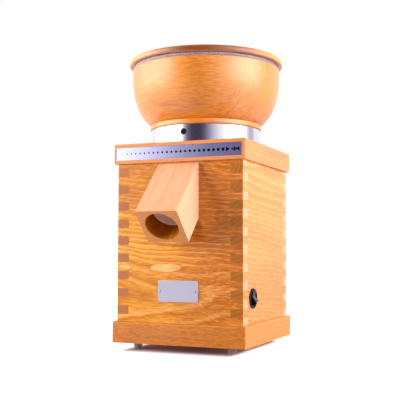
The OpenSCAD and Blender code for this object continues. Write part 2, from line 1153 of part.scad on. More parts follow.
module index_mark() {
    color(black)
        translate([0, -ring_r - 0.15, index_z])
            rotate([-90, 0, 0])
                cylinder(r = index_r, h = ring_t + 0.3);
}

module feed_tube() {
    color(grey_plastic) {
        translate([0, 0, feed_z])
            ring_solid(feed_r + feed_t, feed_r, ring_top - feed_z);
        translate([0, 0, ring_top - feed_flange_t])
            ring_solid(feed_flange_r - set_gap, feed_r, feed_flange_t);
    }
}

// Turned outside of the bowl, from the bead up to the rim
function bowl_out(t) = [
    bowl_r - (bowl_r - bead_r) / (1 - cos(65)) * (1 - cos(t)),
    belly_z - belly_fall * sin(t) / sin(65)
];

// Turned inside of the bowl, from the throat up to the rim
function bowl_in(t) = [
    throat_r + (bowl_r - bowl_rim_t - throat_r) * cos(t),
    belly_z - (belly_z - throat_z) * sin(t)
];

module hopper_bowl() {
    color(pale_wood)
        difference() {
            rotate_extrude()
                polygon(concat(
                    [
                        [feed_r, bowl_z],
                        [bead_r - 1, bowl_z],
                        [bead_r, bowl_z + 1],
                        [bead_r, bowl_z + bead_h - 1.6],
                        [bead_r - 0.9, bowl_z + bead_h - 0.5]
                    ],
                    [for (i = [0:bowl_steps]) bowl_out(65 * (1 - i / bowl_steps))],
                    [
                        [bowl_r - 0.6, bowl_top - 1],
                        [bowl_r - 1.6, bowl_top],
                        [bowl_r - bowl_rim_t + 1, bowl_top],
                        [bowl_r - bowl_rim_t, bowl_top - 1]
                    ],
                    [for (i = [0:bowl_steps]) bowl_in(90 * i / bowl_steps)],
                    [[feed_r, throat_z - 4]]
                ));
            bowl_screw_places()
                translate([0, 0, -20])
                    cylinder(r = 2 + set_gap, h = 20 + cut);
        }
}

module bowl_screws() {
    color(steel)
        bowl_screw_places()
            pan_screw(2, 19, 2.9, 2.2);
}

// ---------- lid ----------

module lid() {
    color(wood)
        rotate_extrude()
            polygon(concat(
                [
                    [0, lid_z - spigot_h],
                    [spigot_r - 1.5, lid_z - spigot_h],
                    [spigot_r, lid_z - spigot_h + 1.5],
                    [spigot_r, lid_z],
                    [lid_r - 1.2, lid_z],
                    [lid_r - 0.4, lid_z + 0.3],
                    [lid_r, lid_z + 1.2]
                ],
                [for (a = [0:15:75]) [
                    lid_r - lid_round + lid_round * cos(a),
                    lid_z + lid_t - lid_round + lid_round * sin(a)
                ]],
                [for (i = [0:dome_steps]) [
                    (lid_r - lid_round) * (1 - i / dome_steps),
                    lid_z + lid_t + lid_dome * (1 - pow(1 - i / dome_steps, 2))
                ]]
            ));
}

module lid_seal() {
    color("lightslategray")
        translate([0, 0, seal_z])
            difference() {
                ring_solid(seal_r, spigot_r, lid_z - seal_z);
                translate([0, 0, -cut])
                    ring_solid(seal_r + over, seal_r - 0.3, 0.5 + cut);
            }
}

// ---------- electrics ----------

module in_switch() {
    translate([side_x, switch_y, switch_z])
        children();
}

module switch_body() {
    color(black)
        in_switch()
            difference() {
                union() {
                    rotate([0, 90, 0])
                        rotate_extrude()
                            polygon([
                                [0, 0],
                                [bezel_r, 0],
                                [bezel_r, 0.9],
                                [bezel_r - 0.4, bezel_t - 0.3],
                                [bezel_r - 0.7, bezel_t],
                                [bezel_in_r, bezel_t - 0.2],
                                [bezel_in_r, bezel_floor],
                                [0, bezel_floor]
                            ]);
                    translate([-wall_t - 1, 0, 0])
                        rotate([0, 90, 0])
                            cylinder(r = barrel_r, h = wall_t + 1 + 0.2);
                    translate([-switch_skin - 3.5, -barrel_r - 1.6, -3])
                        cube([3.5, 2 * barrel_r + 3.2, 6]);
                }
                translate([-rocker_in - 4.8, -rocker_half - 0.4, -8])
                    cube([rocker_in + 4.8 + cut, 2 * rocker_half + 0.8, 16]);
                translate([-rocker_in, -rocker_half - 2.2, 0])
                    rotate([-90, 0, 0])
                        cylinder(r = 1.5 + run_gap, h = 2 * rocker_half + 4.4);
            }
}

// Section of the rocker about its pivot, with its outer side along +X
module rocker_section() {
    wing_x = rocker_rise + rocker_wing * sin(rocker_wing_angle);
    wing_z = rocker_wing * cos(rocker_wing_angle);
    circle(r = 4.2);
    polygon([
        [rocker_rise, 0],
        [wing_x, wing_z],
        [wing_x - 0.9, wing_z - 0.7],
        [rocker_rise - 1.5, wing_z - 1.7],
        [0, 3],
        [0, -3],
        [rocker_rise - 1.5, -wing_z + 1.7],
        [wing_x - 0.9, -wing_z + 0.7],
        [wing_x, -wing_z]
    ]);
}

module switch_rocker() {
    color(black)
        in_switch()
            translate([-rocker_in, 0, 0])
                rotate([0, -rocker_tilt, 0])
                    rotate([90, 0, 0]) {
                        translate([0, 0, -rocker_half])
                            linear_extrude(2 * rocker_half)
                                rocker_section();
                        translate([0, 0, -rocker_half - 1.9])
                            cylinder(r = 1.5, h = 2 * rocker_half + 3.8);
                    }
}

module switch_terminals() {
    color("gold")
        in_switch()
            for (z = [-5, 5], y = [-4, 4])
                translate([-wall_t - 8, y - 0.4, z - 2.4])
                    cube([7, 0.8, 4.8]);
}

cap_x = 46;
cap_y = 48;
can_r = 14;
can_h = 70;

module capacitor() {
    color(grey_plastic)
        translate([cap_x, cap_y, box_z]) {
            cylinder(r = can_r, h = can_h);
            for (x = [-5, 5])
                translate([x - 2.4, -0.4, can_h - cut])
                    cube([4.8, 0.8, 7 + cut]);
        }
}

module capacitor_clip() {
    clip_z = box_z + 42;
    color(steel)
        difference() {
            translate([cap_x, cap_y, clip_z]) {
                cylinder(r = can_r + 1.2, h = 10);
                translate([-7, can_r - 1, 0])
                    cube([14, inner_d / 2 - cap_y - can_r + 1, 10]);
            }
            translate([cap_x, cap_y, clip_z - cut])
                cylinder(r = can_r + set_gap, h = 10 + over);
            translate([cap_x - 2, cap_y - 2 * can_r, clip_z - cut])
                cube([4, 2 * can_r, 10 + over]);
        }
}

block_x = -47;
block_y = 53;

module terminal_block() {
    color(grey_plastic)
        difference() {
            translate([block_x - 14, block_y - 9, box_z])
                cube([28, 18, 13]);
            for (i = [-1:1]) {
                translate([block_x + i * 8.5, block_y - 9 - cut, box_z + 4])
                    rotate([-90, 0, 0])
                        cylinder(r = 1.6, h = 18 + over);
                for (y = [-4.5, 4.5])
                    translate([block_x + i * 8.5, block_y + y, box_z + 7])
                        cylinder(r = 1.9, h = 7);
            }
        }
}

module cord_gland() {
    color(black)
        translate([gland_x, -front_y, gland_z])
            rotate([-90, 0, 0])
                difference() {
                    union() {
                        translate([0, 0, -wall_t - 2])
                            cylinder(r = gland_r, h = wall_t + 2 + cut);
                        cylinder(r = 10, h = 2);
                        translate([0, 0, 2])
                            cylinder(r1 = 8.5, r2 = 6.5, h = 6);
                    }
                    translate([0, 0, -wall_t - 2 - cut])
                        cylinder(r = gland_bore_r, h = wall_t + 10 + over);
                }
}

lead_r = 1.3;

// Insulated lead along straight runs through the points given
module lead(points) {
    for (i = [0:len(points) - 2])
        hull()
            for (p = [points[i], points[i + 1]])
                translate(p)
                    sphere(r = lead_r, $fn = 10);
}

module wiring() {
    floor_z = box_z + 3.4;
    end_gap = lead_r + 0.1;
    tab_x = side_x - wall_t - 8 - end_gap;
    low_coil_z = stack_z - 9;
    coil_r = slot_out_r + end_gap;
    color("saddlebrown") {
        lead([
            [block_x + 8.5, block_y - 7, box_z + 4],
            [block_x + 8.5, block_y - 11, box_z + 4],
            [block_x + 8.5, block_y - 15, floor_z],
            [-38, -54, floor_z],
            [44, -54, floor_z],
            [44, -54, switch_z - 5],
            [tab_x, switch_y - 4, switch_z - 5]
        ]);
        lead([
            [tab_x, switch_y + 4, switch_z + 5],
            [50, switch_y + 4, switch_z + 5],
            [58 * cos(30), -58 * sin(30), low_coil_z],
            [coil_r * cos(30), -coil_r * sin(30), low_coil_z]
        ]);
        lead([
            [block_x, block_y - 7, box_z + 4],
            [block_x, block_y - 11, box_z + 4],
            [block_x, block_y - 16, 42],
            [-58 * cos(30), 58 * sin(30), low_coil_z],
            [-coil_r * cos(30), coil_r * sin(30), low_coil_z]
        ]);
        lead([
            [cap_x - 5, cap_y, box_z + can_h + 7 + end_gap],
            [cap_x - 5, cap_y, box_z + can_h + 12],
            [20, 57.5, 100],
            [0, 57.5, low_coil_z],
            [0, coil_r, low_coil_z]
        ]);
    }
}

base_board();
front_panel();
rear_panel();
left_panel();
right_panel();
top_board();
scale_strip();
spout();
outlet_tube();
name_plate();
name_plate_pins();
foot_front_left();
foot_front_right();
foot_rear_left();
foot_rear_right();
foot_screws();
base_screws();
plate_battens();
motor_plate();
plate_screws();
grinding_chamber();
chamber_screws();
felt_seal();
thread_bush();
bush_screws();
guide_pins();
carrier_springs();
upper_shield();
lower_shield();
stator_core();
stator_windings();
upper_bearing();
lower_bearing();
motor_tie_bolts();
motor_bolts();
capacitor();
capacitor_clip();
terminal_block();
switch_body();
switch_terminals();
cord_gland();
wiring();
motor_shaft();
rotor_core();
cooling_fan();
sweeper();
stone_driver();
lower_stone();
stone_nut();
upper_stone();
stone_carrier();
adjusting_ring();
index_mark();
feed_tube();
hopper_bowl();
bowl_screws();
lid();
lid_seal();
switch_rocker();
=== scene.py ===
"""Looks of the electric grain mill: oiled beech, aluminium, plastics and a pale studio."""

import math
from types import SimpleNamespace

import bmesh
import bpy
from bpy.props import FloatProperty, FloatVectorProperty, IntProperty, PointerProperty
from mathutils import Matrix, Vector


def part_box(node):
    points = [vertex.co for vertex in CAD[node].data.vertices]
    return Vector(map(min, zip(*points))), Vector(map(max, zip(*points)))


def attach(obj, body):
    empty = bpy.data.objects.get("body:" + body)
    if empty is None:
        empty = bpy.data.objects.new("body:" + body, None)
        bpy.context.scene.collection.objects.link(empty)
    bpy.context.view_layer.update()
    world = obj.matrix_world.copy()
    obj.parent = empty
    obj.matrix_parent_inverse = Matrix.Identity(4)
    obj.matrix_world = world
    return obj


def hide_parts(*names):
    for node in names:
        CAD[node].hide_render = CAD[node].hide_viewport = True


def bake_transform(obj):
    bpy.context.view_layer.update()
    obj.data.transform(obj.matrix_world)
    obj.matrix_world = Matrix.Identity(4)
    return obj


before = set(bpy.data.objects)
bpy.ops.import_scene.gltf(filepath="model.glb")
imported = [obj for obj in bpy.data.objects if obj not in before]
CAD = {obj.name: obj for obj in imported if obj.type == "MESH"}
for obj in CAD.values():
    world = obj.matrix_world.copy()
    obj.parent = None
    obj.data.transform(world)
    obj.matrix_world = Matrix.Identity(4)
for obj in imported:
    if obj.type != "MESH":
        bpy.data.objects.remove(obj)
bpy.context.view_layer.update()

bl_info = {
    "name": "Grain mill finish",
    "version": (1, 0, 0),
    "blender": (4, 5, 0),
    "location": "View3D > Sidebar > Grain mill",
    "description": "Dresses the electric grain mill's solids in beech, metal and plastic",
    "category": "Object",
}

X, Y, Z = Vector((1, 0, 0)), Vector((0, 1, 0)), Vector((0, 0, 1))
MM = 0.001
FLOOR_GAP = 0.02 * MM  # how far the floor lies under the feet
LAMP_AIM = 0.18 * Z  # the mill's middle, which the lamps point at


def tone(red, green, blue):
    """Linear colour of a paint given in steps from 0 to 255 of the usual screen curve."""

    def linear(step):
        share = step / 255
        return share / 12.92 if share <= 0.04045 else ((share + 0.055) / 1.055) ** 2.4

    return tuple(linear(step) for step in (red, green, blue))


def colour(name, description, default):
    """A colour that the panel shows."""
    return FloatVectorProperty(
        name=name, description=description, default=default, size=3, min=0, max=1, subtype="COLOR"
    )


def size(name, description, default):
    """A length that the panel shows."""
    return FloatProperty(
        name=name,
        description=description,
        default=default,
        min=0,
        subtype="DISTANCE",
        unit="LENGTH",
    )


def watts(name, description, default):
    """A lamp's power that the panel shows."""
    return FloatProperty(
        name=name, description=description, default=default, min=0, unit="POWER"
    )


# ---------- sizes and colours that a user would change ----------


class MillEdges(bpy.types.PropertyGroup):
    """Eased edges and small details that the solids leave sharp."""

    vent: size("Vent slots", "Easing of the vent slots' outer edges", 0.5 * MM)
    plate: size("Name plate", "Rounding of the name plate's rim", 0.3 * MM)
    strip: size("Scale strip", "Rounding of the scale strip's rim", 0.15 * MM)
    switch: size("Switch", "Rounding of the rocker's edges", 0.35 * MM)
    turned_steps: IntProperty(
        name="Turned steps",
        description="Segments round each turned piece",
        default=192,
        min=24,
        max=512,
    )


class MillColours(bpy.types.PropertyGroup):
    """Colours of the beech, the metals and the plastics."""

    box_pale: colour("Front, pale", "Early wood of the front and rear walls", tone(236, 164, 44))
    box_deep: colour("Front, deep", "Late wood of the front and rear walls", tone(184, 100, 8))
    vein: colour("Veins", "Pale veins of the front and rear walls", tone(246, 184, 114))
    side_pale: colour("Sides, pale", "Early wood of the side walls", tone(230, 152, 82))
    side_deep: colour("Sides, deep", "Late wood of the side walls", tone(221, 130, 56))
    plinth_pale: colour("Plinth, pale", "Early wood of the plinth", tone(203, 126, 30))
    plinth_deep: colour("Plinth, deep", "Late wood of the plinth", tone(180, 100, 20))
    spout_pale: colour("Spout, pale", "Early wood of the spout", tone(232, 180, 140))
    spout_deep: colour("Spout, deep", "Late wood of the spout", tone(220, 160, 114))
    bowl_pale: colour("Bowl, pale", "Early wood of the bowl", tone(226, 138, 18))
    bowl_deep: colour("Bowl, deep", "Late wood of the bowl", tone(200, 112, 4))
    lid_pale: colour("Lid, pale", "Early wood of the lid", tone(214, 132, 30))
    lid_deep: colour("Lid, deep", "Late wood of the lid", tone(190, 104, 14))
    aluminium: colour("Aluminium", "Ring and name plate", tone(240, 238, 246))
    steel: colour("Steel", "Screws, springs and bearings", tone(190, 192, 198))
    black: colour("Black plastic", "Switch and index mark", tone(13, 11, 20))
    natural: colour("Natural plastic", "Chamber and sweeper", tone(214, 208, 204))
    rubber: colour("Clear rubber", "Feet", tone(188, 152, 146))
    seal: colour("Seal", "Rubber band under the lid", tone(160, 158, 174))
    # The strip's blue-violet tint is partly a painted reflection of the dark doorway in front.
    strip: colour("Scale strip", "Anodised face of the scale strip", tone(200, 201, 234))
    floor: colour("Floor", "Studio floor", tone(184, 167, 171))


class MillStudio(bpy.types.PropertyGroup):
    """Lamps, room light and floor."""

    key: watts("Key", "Soft lamp on the right", 44)
    fill: watts("Fill", "Soft lamp on the left", 39)
    top: watts("Top", "Soft lamp above", 8)
    back: watts("Back", "Soft lamp behind", 12)
    room: FloatProperty(
        name="Room", description="Light of the white room", default=0.42, min=0, max=2
    )
    floor_half: size("Floor", "Half of the floor's width", 6.0)


# ---------- nodes ----------


class Value:
    """A number in a finish's node tree. Python's operators on it add Math nodes."""

    def __init__(self, finish, socket):
        self.finish = finish
        self.socket = socket

    def math(self, operation, *others):
        """A Math node on this number and others."""
        return self.finish.math(operation, self, *others)

    def __add__(self, other):
        return self.math("ADD", other)

    __radd__ = __add__

    def __sub__(self, other):
        return self.math("SUBTRACT", other)

    def __rsub__(self, other):
        return self.finish.math("SUBTRACT", other, self)

    def __mul__(self, other):
        return self.math("MULTIPLY", other)

    __rmul__ = __mul__

    def __truediv__(self, other):
        return self.math("DIVIDE", other)

    def __pow__(self, other):
        return self.math("POWER", other)


class Finish:
    """A new material, or a world, whose nodes are laid one by one."""

    def __init__(self, name, owner=None):
        self.material = owner or bpy.data.materials.new(name)
        self.material.use_nodes = True
        self.tree = self.material.node_tree
        self.tree.nodes.clear()

    def feed(self, socket, value):
        """Links a wrapped number, colour or vector to a socket, or sets its plain value."""
        if isinstance(value, Value):
            self.tree.links.new(value.socket, socket)
        elif hasattr(value, "__len__") and socket.type == "RGBA" and len(value) == 3:
            socket.default_value = (*value, 1)
        else:
            socket.default_value = value

    def node(self, kind, settings=None, inputs=None, output=0):
        """Adds a node, sets it up, feeds its sockets and gives one of its outputs."""
        added = self.tree.nodes.new(kind)
        for key, value in (settings or {}).items():
            setattr(added, key, value)
        for key, value in (inputs or {}).items():
            self.feed(added.inputs[key], value)
        return Value(self, added.outputs[output]) if added.outputs else None

    # numbers and vectors

    def math(self, operation, *values):
        """A Math node on numbers and wrapped numbers."""
        return self.node("ShaderNodeMath", {"operation": operation}, dict(enumerate(values)))

    def step(self, value, low, high):
        """Rises smoothly from 0 at low to 1 at high."""
        return self.node(
            "ShaderNodeMapRange",
            {"interpolation_type": "SMOOTHSTEP"},
            {"Value": value, "From Min": low, "From Max": high},
        )

    def between(self, value, rise, fall):
        """Rises from 0 to 1 from one end of rise to the other, and back to 0 over fall."""
        return self.step(value, *rise) * (1 - self.step(value, *fall))

    def turn(self, x, y):
        """Angle round the upright axis, in degrees from the front, positive to the right."""
        return self.math("ARCTAN2", x, y * -1) * (180 / math.pi)

    def normal(self):
        """Direction that the surface faces, on the piece."""
        return self.node("ShaderNodeTexCoord", output="Normal")

    def place(self):
        """Position on the piece, in millimetres."""
        spot = self.node("ShaderNodeTexCoord", output="Object")
        return self.node(
            "ShaderNodeVectorMath", {"operation": "SCALE"}, {0: spot, "Scale": 1 / MM}
        )

    def along(self, vector, direction):
        """How far a vector reaches along a direction."""
        return self.node(
            "ShaderNodeVectorMath",
            {"operation": "DOT_PRODUCT"},
            {0: vector, 1: direction},
            "Value",
        )

    def axes(self, vector):
        """The three numbers of a vector."""
        return [self.node("ShaderNodeSeparateXYZ", None, {0: vector}, i) for i in range(3)]

    # patterns

    def noise(self, x, y, z, detail=2, roughness=0.5):
        """Cloud noise from 0 to 1 at a point whose numbers are already scaled."""
        spot = self.node("ShaderNodeCombineXYZ", None, {0: x, 1: y, 2: z})
        return self.node(
            "ShaderNodeTexNoise",
            None,
            {"Vector": spot, "Scale": 1, "Detail": detail, "Roughness": roughness},
        )

    def clouds(self, spot, sizes, detail=2, roughness=0.6):
        """Cloud noise at a spot of three numbers, for clouds of these three sizes."""
        scaled = [number / length for number, length in zip(spot, sizes)]
        return self.noise(*scaled, detail, roughness)

    def even_clouds(self, spot, length, detail=2, roughness=0.5):
        """Cloud noise with clouds as long as wide and high."""
        return self.clouds(spot, (length,) * 3, detail, roughness)

    def bump(self, height, depth, strength=1.0):
        """A surface normal bent by a height from 0 to 1, depth being its size in metres."""
        return self.node(
            "ShaderNodeBump", None, {"Height": height, "Distance": depth, "Strength": strength}
        )

    # colours

    def mix(self, share, first, second):
        """One colour laid over another."""
        return self.node(
            "ShaderNodeMix", {"data_type": "RGBA"}, {0: share, 6: first, 7: second}, 2
        )

    def brighten(self, paint, value):
        """A colour times a number."""
        return self.node("ShaderNodeHueSaturation", None, {"Color": paint, "Value": value})

    # shaders

    def surface(self, **sockets):
        """Ends the material in a Principled shader. A socket's spaces are written as
        underscores."""
        shader = self.node(
            "ShaderNodeBsdfPrincipled",
            None,
            {key.replace("_", " "): value for key, value in sockets.items()},
        )
        self.node("ShaderNodeOutputMaterial", None, {"Surface": shader})
        return self.material

    def lay(self, share, first, second):
        """One shader laid over another."""
        return self.node("ShaderNodeMixShader", None, {0: share, 1: first, 2: second})

    def emit(self, kind, paint, strength=1):
        """A shader of the kind Emission or Background."""
        return self.node(kind, None, {"Color": paint, "Strength": strength})

    def rays(self, *kinds):
        """1 for rays of these kinds, 0 for others."""
        share = self.node("ShaderNodeLightPath", output=kinds[0])
        for kind in kinds[1:]:
            share = share.math("MAXIMUM", self.node("ShaderNodeLightPath", output=kind))
        return share


# ---------- beech ----------

BEECH = {
    "waves": (3.0, 0.7),  # slow and quick sway of the growth rings, in millimetres
    "tilt": 0.0,  # how fast the heart drifts sideways along the grain
    "taper": 0.0,  # how fast the rings widen along the grain
    "plain": None,  # a direction, and the two places along it where the rings fade in
    "lines": 0.5,  # strength of the line that ends each year
    "vein": None,  # colour of those lines, the flecks and the eyes, where it isn't plain wood
    "shade": 0.4,  # strength of the shade that starts each year
    "base": 0.0,  # how deep the ground colour is
    "lean": (0.0, 0.0),  # how much deeper it gets along and across, per millimetre: partly the wood's tone, partly painted shade
    "eyes": (),  # pale ovals: place along and across, and half their length and height
    "dashes": 0.3,  # strength of the dark dashes
    "dash_size": (7, 0.92, 0.92),  # their length, width and height, in millimetres
    "flecks": 0.08,  # strength of the pale flecks between them
    "streaks": 0.3,  # unevenness of the tone along the grain
    "end_share": 1.0,  # how far a face cut across the grain takes the end's colour
    "end_lines": 0.8,  # strength of the rings on such a face
    "flank": None,  # painted light and shade: a direction, and the colour and strength painted on the faces towards it
    "rough": 0.36,
    "gloss": 1.0,
    "sheen": (1, 1, 1, 1),  # tint of the oil's reflection
    "coat": 0.0,  # share of the hazy coat over the oil
}
LATE_WOOD = (0.74, 0.6, 0.4)  # what is left of the deep colour in its darkest lines
END_DARK, END_PALE = 0.52, 1.35  # tone of the lines on a cut face, against the face itself
SWAY, RIPPLE = (95, 42), (30, 12)  # length and breadth of the rings' slow and quick sway, in mm
YEARS_APART = 2.4  # how many years wide or narrow seasons shift a ring
BAND_LENGTH, BAND_YEARS = 150, 7  # size of the broad bands of the ground colour
STREAK, FIBRE, PORE = (16, 2.4, 2.4), (3, 0.22, 0.22), (8, 0.8, 0.8)  # sizes in mm
# Shares of a year over which its early shade and its last line rise and fall.
EARLY_SHADE = (0.0, 0.12), (0.12, 0.55)
LAST_LINE = (0.6, 0.84), (0.9, 1.0)


def growth_rings(wood, spot, pith, spacing, seed, look):
    """The log's rings at a spot of three numbers along, across and square to the grain."""
    u, v, w = spot
    slow, quick = look.waves
    drift = wood.noise(u / SWAY[0] + seed, v / SWAY[1], w / SWAY[1], 1) - 0.5
    drift = drift * (2 * slow)
    ripple = wood.noise(u / RIPPLE[0] + seed, v / RIPPLE[1], w / RIPPLE[1] + seed, 1) - 0.5
    aside, above = v - pith[0] + u * look.tilt, w - pith[1]
    radius = (aside * aside + above * above) ** 0.5 + drift + ripple * (2 * quick)
    years = (radius + u * look.taper) / spacing
    years = years + (wood.noise(years / 6, seed, 0.0, 1) - 0.5) * YEARS_APART
    year = years.math("FLOOR")
    share = years - year
    chance = wood.node("ShaderNodeTexWhiteNoise", {"noise_dimensions": "1D"}, {"W": year + seed})
    return SimpleNamespace(
        drift=drift,
        ripple=ripple,
        years=years,
        chance=chance,
        vein=wood.between(share, *LAST_LINE) * (chance * 0.75 + 0.25),
        shade=wood.between(share, *EARLY_SHADE),
    )


def lay_eye(wood, body, spot, ripple, eye, paint, dark):
    """A pale oval, such as a small knot leaves, laid over a board's colour with its dark rim."""
    place_u, place_v, half_long, half_high = eye
    u, v = spot[:2]
    reach = ((u - place_u) / half_long) ** 2 + ((v - place_v) / half_high) ** 2 + ripple * 0.7
    rim = wood.between(reach, (0.55, 0.9), (1.0, 1.6))
    body = wood.mix((1 - wood.step(reach, 0.5, 0.95)) * 0.85, body, paint)
    return wood.mix(rim * 0.4, body, dark)


def cut_face(wood, spot, end, vein, shade, strength):
    """Colour of a face cut across the grain, with its rings and pores."""
    dark = tuple(END_DARK * part for part in end)
    pale = tuple(min(END_PALE * part, 1.0) for part in end)
    pores = wood.step(wood.clouds(spot, PORE), 0.5, 0.68)
    cut = wood.mix(vein * strength, end, dark)
    cut = wood.mix(shade * strength, cut, pale)
    return wood.mix(pores * 0.35, cut, dark)


def beech(name, grain, across, pale, deep, end, *, pith, spacing, seed, **looks):
    """Oiled beech sawn from a log. The log's heart runs along grain and lies at pith, which is
    measured along across and square to both, in millimetres, and spacing is a year's growth.
    Further looks are those of BEECH."""
    look = SimpleNamespace(**{**BEECH, **looks})
    wood = Finish(name)
    place, normal = wood.place(), wood.normal()
    grain, across = Vector(grain).normalized(), Vector(across).normalized()
    spot = [wood.along(place, axis) for axis in (grain, across, grain.cross(across))]
    u, v, w = spot
    dark = tuple(left * part for left, part in zip(LATE_WOOD, deep))

    rings = growth_rings(wood, spot, pith, spacing, seed, look)
    vein, shade = rings.vein, rings.shade
    if look.plain:
        direction, start, full = look.plain
        keep = wood.step(wood.along(place, direction), start, full)
        vein, shade = vein * keep, shade * keep

    band = wood.noise(u / BAND_LENGTH, rings.years / BAND_YEARS, seed, 2, 0.6)
    ground = band + (rings.chance - 0.5) * 0.2 + u * look.lean[0] + v * look.lean[1] + look.base
    depth = wood.step(ground, 0.18, 0.82)
    vein = vein * (1 - depth * 0.45)
    body = wood.mix(depth, pale, deep)
    body = wood.mix(shade * look.shade, body, dark)
    body = wood.mix(vein * look.lines, body, look.vein or dark)
    for eye in look.eyes:
        body = lay_eye(wood, body, spot, rings.ripple, eye, look.vein, dark)

    bend = rings.drift * 1.5
    flow = (u, v + bend, w + bend)
    long, wide, high = look.dash_size
    stroke = wood.noise(u / long + v / 20, flow[1] / wide, flow[2] / high, 1, 0.5)
    dash = wood.step(stroke, 0.48, 0.59)
    fleck = 1 - wood.step(stroke, 0.34, 0.5)
    body = wood.mix(dash * (depth * 0.5 + 0.75) * look.dashes, body, dark)
    body = wood.mix(fleck * (depth * 2 + 0.6) * look.flecks, body, look.vein or pale)

    facing = wood.along(normal, grain).math("ABSOLUTE")
    cross = wood.step(facing, 0.35, 0.95) * look.end_share
    body = wood.mix(cross, body, cut_face(wood, spot, end, vein, shade, look.end_lines))
    # Painted light and shade: faces towards a direction take a paler or darker colour.
    if look.flank:
        direction, paint, share = look.flank
        body = wood.mix(wood.step(wood.along(normal, direction), 0.6, 0.9) * share, body, paint)

    streak = wood.clouds(flow, STREAK, 3, 0.65)
    fibre = wood.clouds(spot, FIBRE)
    light = 1 + (streak - 0.5) * look.streaks + (fibre - 0.5) * 0.14
    height = streak * 0.3 + fibre * 0.4 - dash * 0.5
    return wood.surface(
        Base_Color=wood.brighten(body, light),
        Roughness=look.rough + (streak - 0.5) * 0.12 + cross * 0.06,
        Specular_IOR_Level=look.gloss,
        Specular_Tint=look.sheen,
        IOR=1.55,
        Normal=wood.bump(height, 0.05 * MM, 0.5),
        Coat_Weight=look.coat,
        Coat_Roughness=0.36,
        Coat_IOR=2.5,
    )


# ---------- metals, plastics and stone ----------


def drawn_metal(name, paint, rough, brushed=None, turned=False):
    """Metal with the fine lines of brushing along an axis, or of turning about the upright one."""
    line_width, line_length = 0.09, 14
    finish = Finish(name)
    spot = finish.axes(finish.place())
    x, y, z = spot
    if turned:
        radius = (x * x + y * y) ** 0.5
        angle = finish.math("ARCTAN2", x, y)
        lines = finish.noise(angle * 2.5, radius / line_width, z / line_width, 2, 0.6)
    elif brushed is not None:
        sizes = [line_width] * 3
        sizes[brushed] = line_length
        lines = finish.clouds(spot, sizes)
    else:
        lines = finish.even_clouds(spot, 0.7, 3, 0.6)
    cloud = finish.even_clouds(spot, 16)
    return finish.surface(
        Base_Color=finish.brighten(paint, 1 + (lines - 0.5) * 0.12 + (cloud - 0.5) * 0.06),
        Metallic=1.0,
        Roughness=rough + (lines - 0.5) * 0.06 + (cloud - 0.5) * 0.03,
        Normal=finish.bump(lines, 0.008 * MM, 0.4),
    )


def cast_metal(name, paint):
    """Metal with the grainy skin of a casting."""
    finish = Finish(name)
    spot = finish.axes(finish.place())
    skin = finish.even_clouds(spot, 0.8, 4, 0.7)
    cloud = finish.even_clouds(spot, 20)
    return finish.surface(
        Base_Color=finish.brighten(paint, 0.92 + (skin - 0.5) * 0.3 + (cloud - 0.5) * 0.16),
        Metallic=0.9,
        Roughness=0.5 + (skin - 0.5) * 0.2,
        Normal=finish.bump(skin, 0.12 * MM, 0.6),
    )


def moulded(name, paint, rough=0.4, skin_size=0.5, depth=0.02, speckle=0.08, **sockets):
    """Plastic or rubber with a fine moulded skin and a slight unevenness of tone. The skin's
    size and depth are in millimetres."""
    finish = Finish(name)
    spot = finish.axes(finish.place())
    skin = finish.even_clouds(spot, skin_size, 3, 0.6)
    cloud = finish.even_clouds(spot, 18)
    return finish.surface(
        Base_Color=finish.brighten(paint, 1 + (skin - 0.5) * speckle + (cloud - 0.5) * 0.1),
        Roughness=rough + (skin - 0.5) * 0.1 + (cloud - 0.5) * 0.08,
        Normal=finish.bump(skin, depth * MM, 0.5),
        **sockets,
    )


def grit_stone(name, paint):
    """Ceramic-bonded millstone with pale and dark grit."""
    finish = Finish(name)
    place = finish.place()
    spot = finish.axes(place)
    grit = finish.node(
        "ShaderNodeTexVoronoi", None, {"Vector": place, "Scale": 0.9, "Randomness": 1.0}, "Color"
    )
    chance = finish.axes(grit)[0]
    pore = finish.step(finish.even_clouds(spot, 1.3, 3, 0.6), 0.38, 0.5)
    body = finish.mix(finish.step(chance, 0.55, 0.95), paint, tone(246, 244, 240))
    body = finish.mix(finish.step(chance, 0.16, 0.02), body, tone(92, 88, 86))
    return finish.surface(
        Base_Color=finish.brighten(body, pore * 0.25 + 0.78),
        Roughness=0.92 - pore * 0.06,
        Normal=finish.bump(pore * 0.6 + chance * 0.4, 0.25 * MM, 0.8),
    )


def wound_copper(name):
    """Enamelled copper wire laid in turns round the stator."""
    wires, wobble = 5.2, 1.6
    finish = Finish(name)
    x, y, z = finish.axes(finish.place())
    radius = (x * x + y * y) ** 0.5
    angle = finish.math("ARCTAN2", x, y)
    sway = finish.noise(angle * 3, radius / 6, z / 6, 1) * wobble
    layers = ((radius + sway) * wires).math("SINE")
    wire = layers * ((z + sway) * wires).math("SINE") * 0.5 + 0.5
    return finish.surface(
        Base_Color=finish.mix(wire, tone(96, 44, 16), tone(206, 116, 58)),
        Metallic=0.8,
        Roughness=0.42 - wire * 0.12,
        Normal=finish.bump(wire, 0.3 * MM, 0.8),
    )


def laminated(name, paint):
    """Stack of steel sheets, two to the millimetre, seen as fine lines round it."""
    finish = Finish(name)
    spot = finish.axes(finish.place())
    sheet = (spot[2] * (4 * math.pi)).math("SINE") * 0.5 + 0.5
    skin = finish.clouds(spot, (4, 4, 0.5), 3, 0.5)
    return finish.surface(
        Base_Color=finish.brighten(paint, 0.72 + sheet * 0.2 + skin * 0.16),
        Metallic=0.9,
        Roughness=0.5 - sheet * 0.1,
        Normal=finish.bump(sheet, 0.1 * MM, 0.7),
    )


def pressed_felt(name):
    """Grey-brown pressed wool."""
    finish = Finish(name)
    hair = finish.clouds(finish.axes(finish.place()), (0.25, 1.6, 0.6), 4, 0.7)
    return finish.surface(
        Base_Color=finish.mix(hair, tone(96, 84, 72), tone(186, 172, 152)),
        Roughness=0.95 - hair * 0.05,
        Normal=finish.bump(hair, 0.3 * MM, 0.9),
    )


# ---------- meshes ----------

